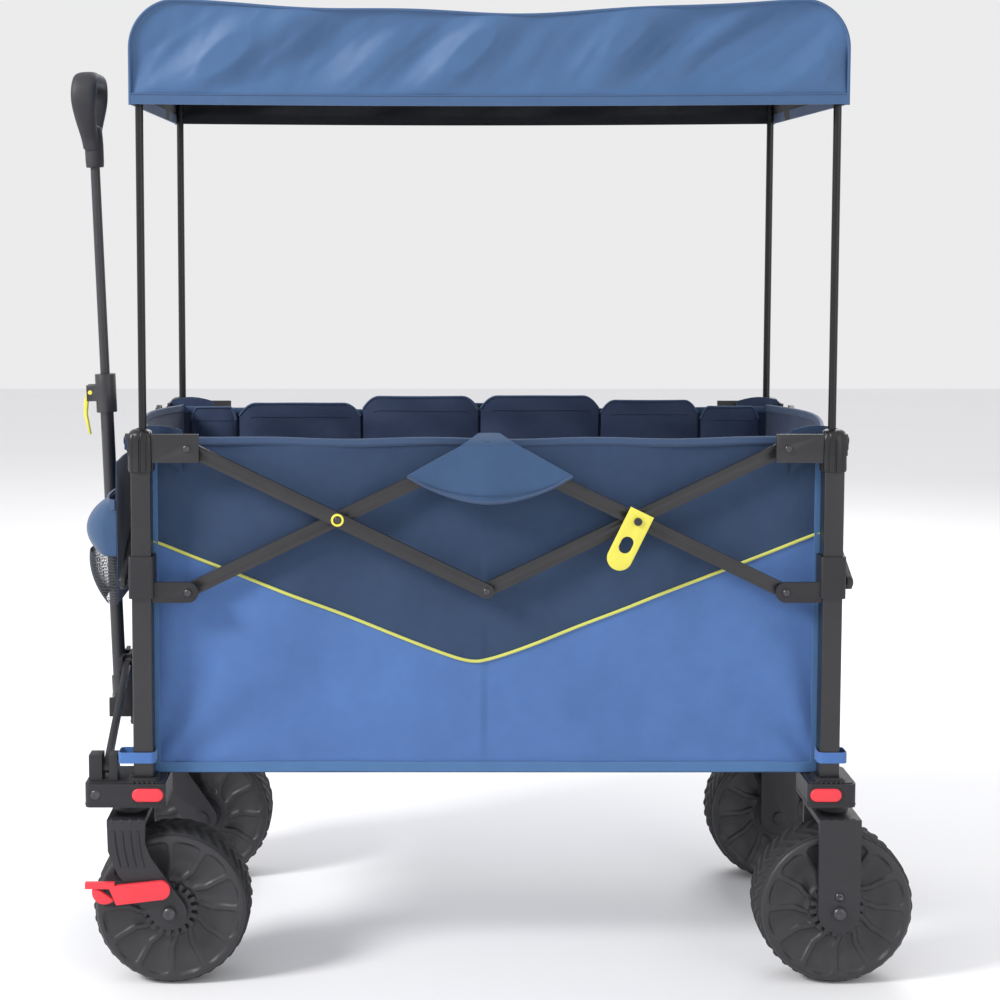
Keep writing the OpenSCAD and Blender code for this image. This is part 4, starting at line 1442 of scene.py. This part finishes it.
def share(name, text, default, low, high):
    """A factor that a user can change."""
    return bpy.props.FloatProperty(name=name, description=text, default=default, min=low, max=high,
                                   subtype="FACTOR")


def tint(name, text, r, g, b):
    """A colour that a user can change, given as a display shows it."""
    return bpy.props.FloatVectorProperty(name=name, description=text, default=linear(r, g, b),
                                         min=0, max=1, size=3, subtype="COLOR")


class WagonSizes(bpy.types.PropertyGroup):
    """Sizes that a user would change."""
    edge_round: size("Edge rounding", "Radius of the edges of bars and posts", 0.0012, 0.0004,
                     0.003)
    cloth_thick: size("Cloth thickness", "Thickness of the fabric panels", 0.0012, 0.0006, 0.002)
    piping_round: size("Piping radius", "Radius of the cord in the lime seam", 0.0021, 0.0012,
                       0.003)
    binding_wide: size("Binding width", "Width of the tape along the basket's edges", 0.0125, 0.008,
                       0.018)
    stitch_pitch: size("Stitch pitch", "Distance from one stitch to the next", 0.0036, 0.0028,
                       0.006)
    canopy_sag: size("Canopy sag", "How far the canopy's top sinks between its poles", 0.016, 0.0,
                     0.03)
    petal_sink: size("Petal depth", "How deep the petals of the wheels' faces are sunk", 0.0042,
                     0.001, 0.006)
    tread_depth: size("Tread depth", "Depth of the grooves between the tyres' chevrons", 0.0022,
                      0.001, 0.003)
    fold_strength: share("Cloth folds", "How strongly the fabric is creased", 1.0, 0.0, 1.5)


class WagonColours(bpy.types.PropertyGroup):
    """Colours that a user would change."""
    canopy: tint("Canopy", "Cloth of the canopy", 61, 97, 141)
    hem: tint("Canopy hem", "Tape along the canopy's lower edge", 62, 92, 132)
    lining: tint("Canopy lining", "Inside of the canopy", 18, 21, 29)
    basket: tint("Basket", "Lower part of the basket's sides", 73, 109, 167)
    navy: tint("Upper basket", "Upper part of the sides and the ends", 36, 60, 92)
    inside: tint("Inside", "Lining of the basket, its floor and inner pockets", 38, 54, 86)
    flap: tint("Flap", "Half-moon flaps and front pockets", 48, 78, 114)
    binding: tint("Edge binding", "Tape along the basket's foot and corners", 74, 120, 172)
    rim: tint("Rim binding", "Tape along the basket's rim", 54, 80, 117)
    strap: tint("Corner straps", "Webbing that ties the basket to its posts", 72, 120, 190)
    piping: tint("Piping", "Cord in the seam between the two blues", 222, 224, 108)
    thread: tint("Thread", "Stitches along the hems", 40, 62, 100)
    net: tint("Netting", "Net of the front pockets", 70, 74, 82)
    steel: tint("Frame", "Powder coat of the posts and scissor bars", 25, 25, 28)
    handle: tint("Handle tubes", "Powder coat of the pull handle", 36, 36, 40)
    moulding: tint("Brackets", "Plastic of the sliders and corner bases", 33, 33, 37)
    fork: tint("Forks", "Plastic of the wheels' forks", 40, 40, 44)
    wheel: tint("Wheels", "Plastic of the wheels' faces", 48, 48, 51)
    tread: tint("Tyres", "Rubber of the tread", 40, 40, 42)
    grip: tint("Grip", "Rubber of the loop grip", 46, 46, 50)
    cap: tint("Pole caps", "Plastic of the caps on the posts", 28, 28, 30)
    pole: tint("Poles", "Glass fibre of the canopy poles", 22, 22, 24)
    red: tint("Release red", "Buttons and brake levers", 226, 56, 68)
    lime: tint("Lime plastic", "Clamp lever, lock tab and washers", 222, 213, 84)
    rivet: tint("Rivets", "Metal of the rivets and bolts", 92, 92, 95)
    floor: tint("Studio floor", "Floor that the wagon stands on", 240, 240, 242)


class WAGON_OT_finishes(bpy.types.Operator):
    """Makes every material from the colours"""
    bl_idname = "wagon.finishes"
    bl_label = "Finishes"

    def execute(self, context):
        make_materials(context.scene.wagon_colours)
        return {"FINISHED"}


class WAGON_OT_frame(bpy.types.Operator):
    """Posts, sliders, scissor bars and their rivets"""
    bl_idname = "wagon.frame"
    bl_label = "Scissor frame"

    def execute(self, context):
        build_frame(context.scene.wagon_sizes)
        return {"FINISHED"}


class WAGON_OT_bases(bpy.types.Operator):
    """Corner bases with their red release buttons"""
    bl_idname = "wagon.bases"
    bl_label = "Corner bases"

    def execute(self, context):
        build_bases(context.scene.wagon_sizes)
        return {"FINISHED"}


class WAGON_OT_forks(bpy.types.Operator):
    """Casters in front and fixed forks behind"""
    bl_idname = "wagon.forks"
    bl_label = "Forks"

    def execute(self, context):
        build_forks(context.scene.wagon_sizes)
        return {"FINISHED"}


class WAGON_OT_brakes(bpy.types.Operator):
    """Red brake levers of the two casters"""
    bl_idname = "wagon.brakes"
    bl_label = "Brake levers"

    def execute(self, context):
        build_brakes()
        return {"FINISHED"}


class WAGON_OT_wheels(bpy.types.Operator):
    """Moulded wheels with their tyres"""
    bl_idname = "wagon.wheels"
    bl_label = "Wheels"

    def execute(self, context):
        build_wheels()
        return {"FINISHED"}


class WAGON_OT_canopy(bpy.types.Operator):
    """Canopy cloth with its hems and piping"""
    bl_idname = "wagon.canopy"
    bl_label = "Canopy"

    def execute(self, context):
        build_canopy()
        return {"FINISHED"}


class WAGON_OT_poles(bpy.types.Operator):
    """Four poles and the caps that hold them on the posts"""
    bl_idname = "wagon.poles"
    bl_label = "Canopy poles"

    def execute(self, context):
        build_poles()
        return {"FINISHED"}


class WAGON_OT_sides(bpy.types.Operator):
    """Long sides of the basket with their seams, rims and corner tips"""
    bl_idname = "wagon.sides"
    bl_label = "Basket sides"

    def execute(self, context):
        build_sides(context.scene.wagon_sizes)
        return {"FINISHED"}


class WAGON_OT_flaps(bpy.types.Operator):
    """Half-moon flap over the middle joint of each side"""
    bl_idname = "wagon.flaps"
    bl_label = "Side flaps"

    def execute(self, context):
        build_flap()
        return {"FINISHED"}


class WAGON_OT_ends(bpy.types.Operator):
    """Short ends of the basket"""
    bl_idname = "wagon.ends"
    bl_label = "Basket ends"

    def execute(self, context):
        build_ends(context.scene.wagon_sizes)
        return {"FINISHED"}


class WAGON_OT_floor(bpy.types.Operator):
    """Padded floor in two halves"""
    bl_idname = "wagon.floor"
    bl_label = "Basket floor"

    def execute(self, context):
        build_floor()
        return {"FINISHED"}


class WAGON_OT_pockets(bpy.types.Operator):
    """Net and cloth pockets on the front end"""
    bl_idname = "wagon.pockets"
    bl_label = "Front pockets"

    def execute(self, context):
        build_pockets()
        return {"FINISHED"}


class WAGON_OT_straps(bpy.types.Operator):
    """Webbing loops that tie the basket to its posts"""
    bl_idname = "wagon.straps"
    bl_label = "Corner straps"

    def execute(self, context):
        build_straps()
        return {"FINISHED"}


class WAGON_OT_inner_pockets(bpy.types.Operator):
    """Pockets along the inside of the far wall"""
    bl_idname = "wagon.inner_pockets"
    bl_label = "Inner pockets"

    def execute(self, context):
        build_inner_pockets()
        return {"FINISHED"}


class WAGON_OT_handle(bpy.types.Operator):
    """Handle arms, yoke, tubes, clamp and loop grip"""
    bl_idname = "wagon.handle"
    bl_label = "Pull handle"

    def execute(self, context):
        build_handle()
        return {"FINISHED"}


class WAGON_OT_lock_tab(bpy.types.Operator):
    """Lime tab that holds the wagon folded"""
    bl_idname = "wagon.lock_tab"
    bl_label = "Fold lock"

    def execute(self, context):
        build_lock_tab()
        return {"FINISHED"}


class WAGON_OT_stage(bpy.types.Operator):
    """Floor, lights and camera"""
    bl_idname = "wagon.stage"
    bl_label = "Studio"

    def execute(self, context):
        build_stage(context.scene.wagon_colours)
        return {"FINISHED"}


OPERATORS = (WAGON_OT_finishes, WAGON_OT_frame, WAGON_OT_bases, WAGON_OT_forks, WAGON_OT_brakes,
             WAGON_OT_wheels, WAGON_OT_canopy, WAGON_OT_poles, WAGON_OT_sides, WAGON_OT_flaps,
             WAGON_OT_ends, WAGON_OT_floor, WAGON_OT_pockets, WAGON_OT_straps,
             WAGON_OT_inner_pockets, WAGON_OT_handle, WAGON_OT_lock_tab, WAGON_OT_stage)


class WAGON_PT_pieces(bpy.types.Panel):
    """Lists the wagon's pieces, sizes and colours in the sidebar."""
    bl_label = "Folding Pull Wagon"
    bl_idname = "WAGON_PT_pieces"
    bl_space_type = "VIEW_3D"
    bl_region_type = "UI"
    bl_category = "Wagon"

    def draw(self, context):
        layout = self.layout
        pieces = layout.column(align=True)
        for operator in OPERATORS:
            pieces.operator(operator.bl_idname)
        for title, group in (("Sizes", context.scene.wagon_sizes),
                             ("Colours", context.scene.wagon_colours)):
            box = layout.box()
            box.label(text=title)
            for field in group.__annotations__:
                box.prop(group, field)


CLASSES = (WagonSizes, WagonColours, *OPERATORS, WAGON_PT_pieces)


def register():
    for cls in CLASSES:
        bpy.utils.register_class(cls)
    bpy.types.Scene.wagon_sizes = bpy.props.PointerProperty(type=WagonSizes)
    bpy.types.Scene.wagon_colours = bpy.props.PointerProperty(type=WagonColours)


def unregister():
    del bpy.types.Scene.wagon_colours
    del bpy.types.Scene.wagon_sizes
    for cls in reversed(CLASSES):
        bpy.utils.unregister_class(cls)


def main():
    register()
    for operator in OPERATORS:
        getattr(bpy.ops.wagon, operator.bl_idname.split(".")[1])()


if __name__ == "__main__":
    main()
